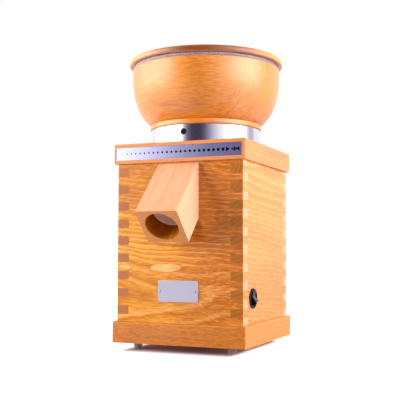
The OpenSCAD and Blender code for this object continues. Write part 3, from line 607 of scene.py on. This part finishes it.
WELD = 0.002 * MM  # points of a CAD node that are this near are one
FLAT, CREASE = math.radians(0.5), math.radians(20)  # angles of a plane's faces, and of an edge


def box_mm(node):
    """A CAD node's low and high corner, in millimetres."""
    return [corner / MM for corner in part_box(node)]


def circle_points(steps):
    """Cosine and sine of equal steps round a circle."""
    turns = [2 * math.pi * i / steps for i in range(steps)]
    return [(math.cos(turn), math.sin(turn)) for turn in turns]


def mesh_of(work, name, sharp_degrees=None):
    """Mesh of finished work, shaded smooth but where faces meet at more than an angle."""
    mesh = bpy.data.meshes.new(name)
    work.to_mesh(mesh)
    work.free()
    if sharp_degrees:
        for face in mesh.polygons:
            face.use_smooth = True
        mesh.set_sharp_from_angle(angle=math.radians(sharp_degrees))
    return mesh


def new_object(name, mesh, material):
    """An object in the scene with one material."""
    made = bpy.data.objects.new(name, mesh)
    bpy.context.scene.collection.objects.link(made)
    mesh.materials.append(material)
    return made


def add_piece(name, body, slot, material, mesh, *nodes):
    """Puts a new piece in place of CAD nodes, or beside them where none is given."""
    piece = new_object(name, mesh, material)
    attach(piece, body)
    if nodes:
        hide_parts(*nodes)
    return piece


def finish_nodes(material, *nodes):
    """Gives CAD nodes that keep their own shape a material."""
    for node in nodes:
        mesh = CAD[node].data
        mesh.materials.clear()
        mesh.materials.append(material)


def eased(name, body, slot, material, node, width, is_eased, steps=3):
    """Copy of a CAD node with rounded edges. is_eased tells from an edge's two ends whether it
    is rounded."""
    work = bmesh.new()
    work.from_mesh(CAD[node].data)
    bmesh.ops.remove_doubles(work, verts=work.verts, dist=WELD)
    bmesh.ops.dissolve_limit(work, angle_limit=FLAT, verts=work.verts, edges=work.edges)
    weights = work.edges.layers.float.new("bevel_weight_edge")
    for edge in work.edges:
        if edge.is_manifold and edge.calc_face_angle(0) >= CREASE:
            edge[weights] = float(is_eased(*(vertex.co / MM for vertex in edge.verts)))
    piece = add_piece(name, body, slot, material, mesh_of(work, name, sharp_degrees=30), node)
    rounding = piece.modifiers.new("rounding", "BEVEL")
    rounding.limit_method = "WEIGHT"
    rounding.width = width
    rounding.segments = steps
    rounding.use_clamp_overlap = False
    rounding.harden_normals = True


def turned(name, body, slot, material, node, profile):
    """Piece turned about the upright axis from a closed profile of (radius, height), in
    millimetres, in place of a CAD node."""
    circle = circle_points(bpy.context.scene.mill_edges.turned_steps)
    work = bmesh.new()
    rings = []
    for radius, height in profile:
        points = [(radius * x, radius * y) for x, y in circle] if radius else [(0, 0)]
        rings.append([work.verts.new(Vector((x, y, height)) * MM) for x, y in points])
    for low, high in zip(rings, rings[1:] + rings[:1]):
        for i in range(len(circle)):
            j = (i + 1) % len(circle)
            corners = [low[i % len(low)], low[j % len(low)]]
            corners += [high[j % len(high)], high[i % len(high)]]
            corners = list(dict.fromkeys(corners))  # a ring on the axis is a single point
            if len(corners) > 2:
                work.faces.new(corners)
    bmesh.ops.recalc_face_normals(work, faces=work.faces)
    add_piece(name, body, slot, material, mesh_of(work, name, sharp_degrees=35), node)


def arc(centre, radius, first, last, steps):
    """Points of an arc of a profile, angles in degrees from the outward direction."""
    turns = [math.radians(first + (last - first) * i / steps) for i in range(steps + 1)]
    return [
        (centre[0] + radius * math.cos(turn), centre[1] + radius * math.sin(turn))
        for turn in turns
    ]


def flat_marks(name, body, slot, material, y, outlines):
    """Thin printed marks on a front face. Each outline is a closed loop of (x, z), in
    millimetres."""
    half_thick = 0.05
    work = bmesh.new()
    for outline in outlines:
        front, back = (
            [work.verts.new(Vector((px, y + depth, pz)) * MM) for px, pz in outline]
            for depth in (-half_thick, half_thick)
        )
        work.faces.new(front)
        work.faces.new(back[::-1])
        for i in range(len(front)):
            j = (i + 1) % len(front)
            work.faces.new((front[i], back[i], back[j], front[j]))
    bmesh.ops.recalc_face_normals(work, faces=work.faces)
    add_piece(name, body, slot, material, mesh_of(work, name))


def disc(x, z, radius, steps=24):
    """Outline of a round mark."""
    return [(x + radius * dx, z + radius * dz) for dx, dz in circle_points(steps)]


def near(value, goal):
    """Whether two places on an axis are the same, in millimetres."""
    return abs(value - goal) < 0.05


# ---------- boards ----------


class MILL_OT_boards(bpy.types.Operator):
    """Beech walls with finger joints, plinth and cap"""

    bl_idname = "mill.boards"
    bl_label = "Walls, plinth and cap"

    def execute(self, context):
        edges, paint = context.scene.mill_edges, context.scene.mill_colours
        box = (paint.box_pale, paint.box_deep, tone(226, 162, 122))
        side = (paint.side_pale, paint.side_deep)
        front = beech(
            "front_beech", X, Z, *box, pith=(62, 26), spacing=4.6, seed=3.7,
            waves=(6.0, 1.4), taper=0.05, lines=0.8, vein=paint.vein, shade=0.6,
            # Deeper towards the upper right: partly the wood's tone, partly painted shade beside
            # the spout and under the cap.
            lean=(0.0022, 0.0016), eyes=((-15, 95, 22, 5.2), (-68, 95, 10, 3.4)),
            dashes=0.42, dash_size=(13, 0.8, 0.8), flecks=0.1, streaks=0.4, end_lines=0.3,
            rough=0.2, sheen=(1, 0.88, 0.45, 1),
        )
        rear = beech(
            "rear_beech", X, Z, *box, pith=(150, -30), spacing=2.8, seed=9.1,
            waves=(4.0, 1.0), vein=paint.vein, end_lines=0.3,
        )
        left = beech(
            "left_beech", Y, Z, *side, tone(156, 88, 42), pith=(80, 120), spacing=2.8, seed=5.3,
            waves=(5.0, 1.0), tilt=-0.12, lines=0.45, shade=0.3, dashes=0.25, streaks=0.24,
            sheen=(1, 0.88, 0.62, 1),
        )
        right = beech(
            "right_beech", Y, Z, *side, tone(150, 84, 6), pith=(225, 20), spacing=5.0, seed=1.9,
            waves=(3.4, 0.7), tilt=0.14, taper=0.06, lines=0.42, vein=tone(250, 206, 140),
            # Darker towards the bottom.
            base=0.3, lean=(0, -0.0022), dashes=0.34, streaks=0.24, sheen=(1, 0.85, 0.5, 1),
        )
        plinth = beech(
            "plinth_beech", X, Y, paint.plinth_pale, paint.plinth_deep, tone(232, 130, 50),
            pith=(30, -60), spacing=5.0, seed=6.2, waves=(4.0, 0.8), lines=0.25, dashes=0.6,
            flecks=0.16, streaks=0.4, end_lines=0.75, sheen=(1, 0.95, 0.75, 1),
        )
        cap = beech(
            "cap_beech", Y, X, *side, tone(200, 122, 56), pith=(30, 30), spacing=4.2, seed=2.4,
            waves=(6.0, 1.2), lines=0.4, dashes=0.34, streaks=0.36, end_lines=0.3,
        )
        finish_nodes(front, "front_panel")
        finish_nodes(left, "left_panel")
        finish_nodes(right, "right_panel")
        finish_nodes(plinth, "base_board")
        finish_nodes(cap, "top_board")
        back = box_mm("rear_panel")[1].y
        half_wide, lowest, highest = 40, 85, 165

        def on_slots(*ends):
            """Edges of the vent slots, on the wall's outer face."""
            return all(
                near(p.y, back) and abs(p.x) < half_wide and lowest < p.z < highest for p in ends
            )

        eased("rear_wall", "housing", "box_beech", rear, "rear_panel", edges.vent, on_slots)
        return {"FINISHED"}


# ---------- spout ----------


def across_spout(spot):
    """Where a point lies across the spout, which slopes at 45 degrees."""
    return Vector((spot.x, (spot.y - spot.z) * math.sqrt(0.5)))


class MILL_OT_spout(bpy.types.Operator):
    """Square beech spout at 45 degrees with the plastic tube inside it"""

    bl_idname = "mill.spout"
    bl_label = "Spout and outlet tube"

    def execute(self, context):
        paint = context.scene.mill_colours
        log = {"pith": (-120, -150), "spacing": 3.2, "seed": 4.4, "waves": (2.0, 0.5)}
        planed = beech(
            "spout_beech", Y + Z, X, paint.spout_pale, paint.spout_deep, tone(210, 139, 62),
            **log, lines=0.25, shade=0.2, dashes=0.42, dash_size=(22, 0.8, 0.8), end_lines=0.2,
            # Painted light: the faces towards the right, where the key lamp stands, take a paler
            # colour.
            flank=(X, tone(244, 196, 162), 0.5),
        )
        # Inside the bore the wood is darker and more saturated, with no gloss: partly its rough
        # bored surface, partly painted shade of the narrow bore.
        shaded_bore = beech(
            "shaded_bore_beech", Y + Z, X, tone(196, 124, 26), tone(170, 98, 14), tone(176, 104, 46),
            **log, gloss=0.0, rough=0.8,
        )
        finish_nodes(planed, "spout")
        mesh = CAD["spout"].data
        mesh.materials.append(shaded_bore)
        axis = across_spout(sum(box_mm("outlet_tube"), Vector()) / 2)
        least_reach = 5
        for face in mesh.polygons:
            inward = axis - across_spout(face.center / MM)
            looks_inward = across_spout(face.normal).dot(inward) > least_reach
            face.material_index = int(looks_inward)
        # Painted light: a faint warm glow lifts the tube, which sits in the spout's shade.
        tube = moulded(
            "tube_plastic", tone(240, 222, 214), 0.35, 0.8,
            Emission_Color=(1, 0.6, 0.45, 1), Emission_Strength=0.04,
        )
        finish_nodes(tube, "outlet_tube", "feed_tube")
        return {"FINISHED"}


# ---------- scale and plate ----------


def black_marks(first, last, middle):
    """Dots that grow from the first place to the last, then an arrow and a few coarse grains."""
    count, least, growth = 22, 0.75, 1.1
    shares = [i / (count - 1) for i in range(count)]
    marks = [
        disc(first + (last - first) * share, middle, least + growth * share) for share in shares
    ]
    arrow = ((8.4, 0), (3.4, 2.5), (3.4, -2.5))
    marks.append([(last + dx, middle + dz) for dx, dz in arrow])
    grains = ((11.2, 0), (13.7, 0.9), (13.8, -1.1), (16.2, 0), (18.5, 0.9), (18.6, -1.0))
    return marks + [disc(last + dx, middle + dz, 1.3, 7) for dx, dz in grains]


def grey_marks(first, middle):
    """A few fine grains before the first dot."""
    grains = [(0.9 * i - 10.5, 0.55 * (-1) ** i) for i in range(7)]
    return [disc(first + dx, middle + dz, 0.34, 10) for dx, dz in grains]


class MILL_OT_scale(bpy.types.Operator):
    """Aluminium scale strip with its row of growing dots, and the bare name plate"""

    bl_idname = "mill.scale"
    bl_label = "Scale strip and name plate"

    def execute(self, context):
        edges, paint = context.scene.mill_edges, context.scene.mill_colours
        low, high = box_mm("scale_strip")
        face, middle = low.y, (low.z + high.z) / 2

        def on_strip(*ends):
            """Edges round the strip's outer face."""
            return all(near(p.y, face) for p in ends)

        eased(
            "scale_band", "housing", "scale_metal",
            drawn_metal("strip_aluminium", paint.strip, 0.13, brushed=0),
            "scale_strip", edges.strip, on_strip, 2,
        )
        first, last = low.x + 14.5, high.x - 22.5
        black = moulded("print_black", tone(2, 2, 6), 0.6, 0.2, Specular_IOR_Level=0.05)
        marks = black_marks(first, last, middle)
        flat_marks("scale_marks", "housing", "index_plastic", black, face, marks)
        grey = moulded("print_grey", tone(150, 148, 160), 0.5, 0.2)
        marks = grey_marks(first, middle)
        flat_marks("fine_marks", "housing", "index_plastic", grey, face, marks)

        low, high = box_mm("name_plate")
        plate_face, plate_middle = low.y, (low.z + high.z) / 2
        half_wide, half_high = 23, 10

        def on_plate(*ends):
            """Edges round the plate's outer face, but not those of its pin holes."""
            return all(
                near(p.y, plate_face)
                and (abs(p.x) > half_wide or abs(p.z - plate_middle) > half_high)
                for p in ends
            )

        eased(
            "plate_blank", "housing", "plate_metal",
            drawn_metal("plate_aluminium", paint.aluminium, 0.12, brushed=0),
            "name_plate", edges.plate, on_plate, 2,
        )
        return {"FINISHED"}


# ---------- hopper and lid ----------


def bowl_profile(radius, foot, top):
    """Outline of the bowl: bead, round belly, upright rim, and a hollow that ends in a throat."""
    bead_radius, bead_height, bead_round = 68.2, 6.6, 1.6
    foot_round, rim_round, lip_round, rim_thick = 1, 1.6, 1.2, 9.2
    throat_radius, throat_height, hole_radius = 24, foot + 11.5, 17
    belly = foot + 61.3
    sweep = math.radians(65)
    steps = 48
    fall = (belly - foot - bead_height) / math.sin(sweep)
    spread = (radius - bead_radius) / (1 - math.cos(sweep))

    profile = [(hole_radius, foot), (bead_radius - foot_round, foot)]
    profile += arc((bead_radius - foot_round, foot + foot_round), foot_round, -90, 0, 4)[1:]
    bead = (bead_radius - bead_round, foot + bead_height - 1.8)
    profile += arc(bead, bead_round, 0, 75, 5)
    for i in range(steps + 1):
        turn = sweep * (1 - i / steps)
        profile.append((radius - spread * (1 - math.cos(turn)), belly - fall * math.sin(turn)))
    profile += [(radius, belly + (top - rim_round - belly) * i / 4) for i in range(1, 5)]
    profile += arc((radius - rim_round, top - rim_round), rim_round, 0, 90, 5)[1:]
    inner = radius - rim_thick
    profile += arc((inner + lip_round, top - lip_round), lip_round, 90, 180, 4)
    for i in range(1, steps + 1):
        turn = math.radians(90 * i / steps)
        profile.append((
            throat_radius + (inner - throat_radius) * math.cos(turn),
            belly - (belly - throat_height) * math.sin(turn),
        ))
    profile += [(hole_radius + 1.2, throat_height - 2.6), (hole_radius, throat_height - 4)]
    return profile


def lid_profile(radius, spigot, bottom, under, top):
    """Outline of the lid: a spigot that enters the bowl, a rounded rim and a slightly domed top."""
    spigot_round, under_round, edge_round, dome = 1.5, 1.4, 3.4, 1.6
    edge_top, flat, steps = top - dome, radius - edge_round, 24
    corner = spigot - spigot_round
    profile = [(0, bottom), (corner, bottom)]
    profile += arc((corner, bottom + spigot_round), spigot_round, -90, 0, 4)[1:]
    profile += [(spigot, under), (radius - under_round, under)]
    profile += arc((radius - under_round, under + under_round), under_round, -90, 0, 5)[1:]
    profile += arc((flat, edge_top - edge_round), edge_round, 0, 90, 8)
    shares = [1 - i / steps for i in range(1, steps + 1)]
    profile += [(flat * share, edge_top + dome * (1 - share**2)) for share in shares]
    return profile


def seal_profile(inner, outer, foot, head):
    """Outline of the seal, a soft band with a groove between two lips."""
    lip = [(inner, foot), (outer - 0.9, foot)]
    lip += [(outer - 0.5, foot + 0.5), (outer - 0.15, foot + 0.75)]
    lip += arc((outer - 0.5, foot + 1.25), 0.5, 0, 60, 3)
    lip += arc((outer - 0.45, head - 0.7), 0.45, 0, 80, 3)
    return lip + [(inner, head)]


class MILL_OT_hopper(bpy.types.Operator):
    """Turned beech bowl on its aluminium adjusting ring with the index dot"""

    bl_idname = "mill.hopper"
    bl_label = "Ring and bowl"

    def execute(self, context):
        paint = context.scene.mill_colours
        ring = drawn_metal("ring_aluminium", paint.aluminium, 0.21, turned=True)
        finish_nodes(ring, "adjusting_ring", "thread_bush")
        dot = moulded("index_black", paint.black, 0.6, 0.3, Specular_IOR_Level=0.2)
        finish_nodes(dot, "index_mark")
        low, high = box_mm("hopper_bowl")
        plain_until = 46 - 0.38 * high.z
        wood = beech(
            "bowl_beech", (0.992, -0.122, 0.03), (0.122, 0.992, 0),
            paint.bowl_pale, paint.bowl_deep, tone(222, 140, 48),
            pith=(-215, 300), spacing=3.6, seed=7.7, waves=(3.0, 0.6),
            plain=((0.92, 0.39, -0.38), plain_until, plain_until + 6), lines=0.95,
            vein=tone(250, 196, 136), dashes=0.46, dash_size=(17, 6, 0.8), flecks=0.1,
            streaks=0.36, end_share=0.4, coat=0.72, gloss=0.4, sheen=(1, 0.9, 0.5, 1),
        )
        profile = bowl_profile(high.x, low.z, high.z)
        turned("bowl_turned", "hopper", "bowl_beech", wood, "hopper_bowl", profile)
        return {"FINISHED"}


class MILL_OT_lid(bpy.types.Operator):
    """Turned beech lid and its rubber seal"""

    bl_idname = "mill.lid"
    bl_label = "Lid and seal"

    def execute(self, context):
        paint = context.scene.mill_colours
        low, high = box_mm("lid")
        seal_low, seal_high = box_mm("lid_seal")
        spigot = 79.6
        wood = beech(
            "lid_beech", (0.94, 0.34, 0), (-0.34, 0.94, 0),
            paint.lid_pale, paint.lid_deep, tone(248, 164, 62),
            pith=(12, 150), spacing=2.4, seed=8.3, waves=(3.0, 0.8), dashes=0.5,
            dash_size=(12, 1.1, 0.8), streaks=0.6, end_share=0.8, end_lines=0.5,
            # Painted shade: the faces towards the front right take a dark brown.
            flank=((0.39, -0.92, 0), tone(122, 48, 0), 0.9),
            coat=0.7, gloss=0.4, sheen=(1, 0.85, 0.4, 1),
        )
        profile = lid_profile(high.x, spigot, low.z, seal_high.z, high.z)
        turned("lid_turned", "lid", "lid_beech", wood, "lid", profile)
        rubber = moulded("seal_rubber", paint.seal, 0.45, 2.0, 0.1, 2.0)
        profile = seal_profile(spigot, seal_high.x, seal_low.z, seal_high.z)
        turned("seal_band", "lid", "seal_rubber", rubber, "lid_seal", profile)
        return {"FINISHED"}


# ---------- switch, gland and feet ----------


class MILL_OT_switch(bpy.types.Operator):
    """Round rocker switch in the right wall, and the cord gland in the rear wall"""

    bl_idname = "mill.switch"
    bl_label = "Switch and gland"

    def execute(self, context):
        edges, paint = context.scene.mill_edges, context.scene.mill_colours
        black = moulded("switch_black", paint.black, 0.28, 0.35, 0.01)
        wall = box_mm("right_panel")[1].x

        def in_reach(*ends):
            """Edges of the rocker that lie at most 4 mm inside the wall's face."""
            return all(p.x > wall - 4 for p in ends)

        eased(
            "rocker_cap", "rocker", "switch_plastic", black, "switch_rocker", edges.switch, in_reach
        )
        finish_nodes(black, "switch_body")
        finish_nodes(moulded("gland_rubber", tone(30, 30, 32), 0.6, 0.4, 0.05), "cord_gland")
        return {"FINISHED"}


class MILL_OT_feet(bpy.types.Operator):
    """Clear rubber feet"""

    bl_idname = "mill.feet"
    bl_label = "Feet"

    def execute(self, context):
        rubber = moulded(
            "foot_rubber", context.scene.mill_colours.rubber, 0.22, 0.9,
            Transmission_Weight=0.25, IOR=1.42,
        )
        corners = [f"foot_{end}_{side}" for end in ("front", "rear") for side in ("left", "right")]
        finish_nodes(rubber, *corners)
        return {"FINISHED"}


# ---------- fixings and inner parts ----------


def coil_springs(material, wire=0.4, coil=2.4, turns=5, facets=8, per_turn=20):
    """The three wire springs under the stone carrier, their feet standing in the housing. Wire
    and coil are radii, in millimetres."""
    low, high = box_mm("carrier_springs")
    circle = high.y - coil - wire
    rise = (high.z - low.z - 2 * wire) / (turns * per_turn)
    section = circle_points(facets)
    work = bmesh.new()
    for place in map(math.radians, (90, 210, 330)):
        centre = Vector((math.cos(place), math.sin(place), 0)) * circle
        rings = []
        for i in range(turns * per_turn + 1):
            turn = 2 * math.pi * i / per_turn
            out = Vector((math.cos(turn), math.sin(turn), 0))
            middle = centre + out * coil + Z * (low.z + wire + rise * i)
            ring = [middle + (out * across + Z * up) * wire for across, up in section]
            rings.append([work.verts.new(spot * MM) for spot in ring])
        for first, second in zip(rings, rings[1:]):
            for k in range(facets):
                j = (k + 1) % facets
                work.faces.new((first[k], first[j], second[j], second[k]))
        work.faces.new(rings[0])
        work.faces.new(rings[-1])
    bmesh.ops.recalc_face_normals(work, faces=work.faces)
    mesh = mesh_of(work, "spring_coils", sharp_degrees=50)
    springs = new_object("spring_coils", mesh, material)
    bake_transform(springs)
    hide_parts("carrier_springs")


class MILL_OT_fixings(bpy.types.Operator):
    """Screws, bolts, pins and springs"""

    bl_idname = "mill.fixings"
    bl_label = "Fixings"

    def execute(self, context):
        steel = context.scene.mill_colours.steel
        screws = drawn_metal("screw_steel", steel, 0.3)
        finish_nodes(
            screws,
            "name_plate_pins", "foot_screws", "base_screws", "plate_screws", "chamber_screws",
            "bush_screws", "bowl_screws", "motor_tie_bolts", "motor_bolts",
        )
        coil_springs(screws)
        ground = drawn_metal("shaft_steel", steel, 0.22, turned=True)
        finish_nodes(ground, "guide_pins", "motor_shaft")
        return {"FINISHED"}


class MILL_OT_works(bpy.types.Operator):
    """Stones, grinding chamber, motor and electrics"""

    bl_idname = "mill.works"
    bl_label = "Inner parts"

    def execute(self, context):
        paint = context.scene.mill_colours
        steel = paint.steel
        batten = beech(
            "batten_spruce", Y, X, tone(232, 200, 146), tone(214, 172, 112), tone(196, 150, 96),
            pith=(20, 90), spacing=2.4, seed=2.9, dashes=0.0, gloss=0.5,
        )
        dressed = (
            (grit_stone("millstone", tone(214, 208, 200)), "lower_stone", "upper_stone"),
            (moulded("chamber_plastic", paint.natural, 0.4), "grinding_chamber", "sweeper"),
            (pressed_felt("pressed_felt"), "felt_seal"),
            (cast_metal("cast_aluminium", tone(196, 196, 200)),
             "upper_shield", "lower_shield", "stone_driver", "stone_carrier"),
            (drawn_metal("sheet_steel", steel, 0.38, brushed=1), "motor_plate", "capacitor_clip"),
            (drawn_metal("bearing_steel", steel, 0.18, turned=True),
             "upper_bearing", "lower_bearing", "stone_nut"),
            (laminated("laminated_steel", steel), "stator_core", "rotor_core"),
            (wound_copper("copper_wire"), "stator_windings"),
            (moulded("fan_plastic", tone(54, 56, 60), 0.45), "cooling_fan"),
            (moulded("can_plastic", tone(220, 222, 222), 0.35), "capacitor"),
            (moulded("block_plastic", tone(232, 230, 220), 0.45), "terminal_block"),
            (moulded("lead_insulation", tone(92, 50, 30), 0.5), "wiring"),
            (drawn_metal("tab_brass", tone(214, 178, 96), 0.3, brushed=1), "switch_terminals"),
            (batten, "plate_battens"),
        )
        for material, *nodes in dressed:
            finish_nodes(material, *nodes)
        return {"FINISHED"}


# ---------- stage ----------

# Turns in degrees, or heights from -1 to 1, over which each thing starts and ends.
DOORWAY, DARK_HEART = ((-31, -21.5), (20, 58)), ((-22, -9), (10, 34))
DOORWAY_ON_FLOOR = (-18, 0), (30, 55)
LEFT_BOX, RIGHT_BOX = ((-106, -92), (-32, -23)), ((60, 74), (104, 118))
BOX_HEIGHT = (-0.15, 0.0), (0.55, 0.8)


def soft_lamp(name, place, width, height, power):
    """Rectangular lamp that metal doesn't mirror."""
    data = bpy.data.lights.new(name, "AREA")
    data.shape = "RECTANGLE"
    data.size, data.size_y = width, height
    data.energy = power
    lamp = bpy.data.objects.new(name, data)
    bpy.context.scene.collection.objects.link(lamp)
    lamp.location = place
    lamp.visible_glossy = False
    lamp.rotation_euler = (LAMP_AIM - Vector(place)).to_track_quat("-Z", "Y").to_euler()


def studio_paper(paint):
    """Pale floor that looks white away from the mill, keeps its shadow and adds a painted shadow
    round the plinth, shows polished faces a dim doorway in front, and can be looked through from
    below."""
    paper = Finish("studio_paper")
    x, y, z = paper.axes(paper.place())
    grain = paper.noise(x / 3, y / 3, z, 3)
    paint = paper.brighten(paint, 1 + (grain - 0.5) * 0.02)
    matt = paper.node("ShaderNodeBsdfDiffuse", None, {"Color": paint})

    # The glow that the camera sees leaves a painted shadow, dark and faintly violet, under and just
    # round the plinth, and rises to plain white further away.
    plinth = box_mm("base_board")[1]
    half_wide, half_deep, forward = plinth.x - 22, plinth.y - 14, 10
    beyond_x = paper.math("MAXIMUM", x.math("ABSOLUTE") - half_wide, 0)
    beyond_y = paper.math("MAXIMUM", (y + forward).math("ABSOLUTE") - half_deep, 0) / 2
    beyond = (beyond_x * beyond_x + beyond_y * beyond_y) ** 0.5
    # Painted shadow: near the plinth the glow drops to a dark, faintly violet tone.
    glow_with_painted_shadow = paper.mix(paper.step(beyond, 0, 12), (0.03, 0.008, 0.012), (0.76, 0.76, 0.76))
    glow_with_painted_shadow = paper.mix(paper.step(beyond, 200, 800), glow_with_painted_shadow, (1, 1, 1))
    glow_with_painted_shadow = paper.emit("ShaderNodeEmission", glow_with_painted_shadow)
    lifted = paper.node("ShaderNodeAddShader", None, {0: matt, 1: glow_with_painted_shadow})

    # What polished faces mirror of the floor: darker in front and on the right.
    turn = paper.turn(x, y)
    shine = paper.mix(paper.step(turn, -85, -45), (1, 0.95, 0.96), (0.65, 0.6, 0.7))
    shine = paper.mix(paper.between(turn, *DOORWAY_ON_FLOOR), shine, (0.11, 0.09, 0.11))
    shine = paper.emit("ShaderNodeEmission", shine)

    seen = paper.lay(paper.rays("Is Camera Ray", "Is Transmission Ray"), matt, lifted)
    seen = paper.lay(paper.rays("Is Glossy Ray"), seen, shine)
    below = paper.node("ShaderNodeNewGeometry", output="Backfacing")
    seen = paper.lay(below, seen, paper.node("ShaderNodeBsdfTransparent"))
    paper.node("ShaderNodeOutputMaterial", None, {"Surface": seen})
    return paper.material


def white_room(strength):
    """White room that lights the mill, with a dark doorway in front and two light boxes beside
    it for polished metal and oiled wood to mirror."""
    bpy.context.scene.world = bpy.data.worlds.new("white_room")
    room = Finish("white_room", bpy.context.scene.world)
    x, y, z = room.axes(room.node("ShaderNodeTexCoord", output="Generated"))
    turn = room.turn(x, y)
    door, heart = room.between(turn, *DOORWAY), room.between(turn, *DARK_HEART)
    under_lintel = 1 - room.step(z, 0.75, 0.96)
    paint = room.mix(heart, (0.21, 0.19, 0.32), (0.05, 0.038, 0.062))
    paint = room.mix(door * under_lintel, (1, 1, 1), paint)
    paint = room.mix(room.step(z, 0.6, 0.9) * 0.8, paint, (0.12, 0.1, 0.13))
    corner = 1 - room.step(room.math("ABSOLUTE", turn - 132), 4, 16)
    paint = room.mix(corner * 0.8, paint, tone(170, 160, 192))
    boxes = room.between(turn, *LEFT_BOX) + room.between(turn, *RIGHT_BOX)
    boxes = room.brighten(paint, 1 + boxes * room.between(z, *BOX_HEIGHT) * 1.35)

    lit = room.emit("ShaderNodeBackground", paint, strength)
    shiny = room.emit("ShaderNodeBackground", boxes)
    plain = room.emit("ShaderNodeBackground", (1, 1, 1))
    seen = room.lay(room.rays("Is Glossy Ray"), lit, shiny)
    seen = room.lay(room.rays("Is Camera Ray", "Is Transmission Ray"), seen, plain)
    room.node("ShaderNodeOutputWorld", None, {"Surface": seen})


def add_camera(scene, place, degrees, lens):
    """The camera that looks at the mill from its front right."""
    data = bpy.data.cameras.new("camera")
    data.sensor_width = 36
    data.lens = lens
    data.clip_start, data.clip_end = 0.05, 50
    camera = bpy.data.objects.new("camera", data)
    camera.location = place
    camera.rotation_euler = [math.radians(angle) for angle in degrees]
    scene.collection.objects.link(camera)
    scene.camera = camera


class MILL_OT_stage(bpy.types.Operator):
    """Pale floor, white room, soft lamps and camera"""

    bl_idname = "mill.stage"
    bl_label = "Stage"

    def execute(self, context):
        scene, studio = context.scene, context.scene.mill_studio
        scene.view_settings.view_transform = "Standard"
        half = studio.floor_half
        corners = [(-half, -half, 0), (half, -half, 0), (half, half, 0), (-half, half, 0)]
        mesh = bpy.data.meshes.new("floor")
        mesh.from_pydata(corners, [], [(0, 1, 2, 3)])
        floor = new_object("floor", mesh, studio_paper(scene.mill_colours.floor))
        floor.location.z = -FLOOR_GAP
        white_room(studio.room)
        soft_lamp("key_lamp", (1.52, -0.16, 0.65), 1.5, 1.0, studio.key)
        soft_lamp("fill_lamp", (-1.2, -0.81, 0.45), 1.3, 0.9, studio.fill)
        soft_lamp("top_lamp", (0.1, 0.2, 1.6), 1.2, 1.2, studio.top)
        soft_lamp("back_lamp", (-0.2, 1.5, 0.7), 1.2, 0.9, studio.back)
        add_camera(scene, (0.37185, -0.88265, 0.11507), (93.68, -0.15, 23.26), 70.08)
        return {"FINISHED"}


# ---------- add-on ----------

STEPS = (
    MILL_OT_boards,
    MILL_OT_spout,
    MILL_OT_scale,
    MILL_OT_hopper,
    MILL_OT_lid,
    MILL_OT_switch,
    MILL_OT_feet,
    MILL_OT_fixings,
    MILL_OT_works,
    MILL_OT_stage,
)
GROUPS = {"mill_edges": MillEdges, "mill_colours": MillColours, "mill_studio": MillStudio}


class MILL_PT_panel(bpy.types.Panel):
    """Steps and settings of the mill's finish"""

    bl_idname = "MILL_PT_panel"
    bl_label = "Grain mill"
    bl_space_type = "VIEW_3D"
    bl_region_type = "UI"
    bl_category = "Grain mill"

    def draw(self, context):
        for step in STEPS:
            self.layout.operator(step.bl_idname)
        for group, kind in GROUPS.items():
            box = self.layout.box()
            for field in kind.__annotations__:
                box.prop(getattr(context.scene, group), field)


def register():
    """Adds the settings, the operators and the panel."""
    for group, kind in GROUPS.items():
        bpy.utils.register_class(kind)
        setattr(bpy.types.Scene, group, PointerProperty(type=kind))
    for step in (*STEPS, MILL_PT_panel):
        bpy.utils.register_class(step)


def unregister():
    """Takes them away again, last first."""
    for step in (MILL_PT_panel, *reversed(STEPS)):
        bpy.utils.unregister_class(step)
    for group, kind in reversed(GROUPS.items()):
        delattr(bpy.types.Scene, group)
        bpy.utils.unregister_class(kind)


def main():
    """Dresses the whole mill."""
    register()
    for step in STEPS:
        family, name = step.bl_idname.split(".")
        getattr(getattr(bpy.ops, family), name)()


if __name__ == "__main__":
    main()
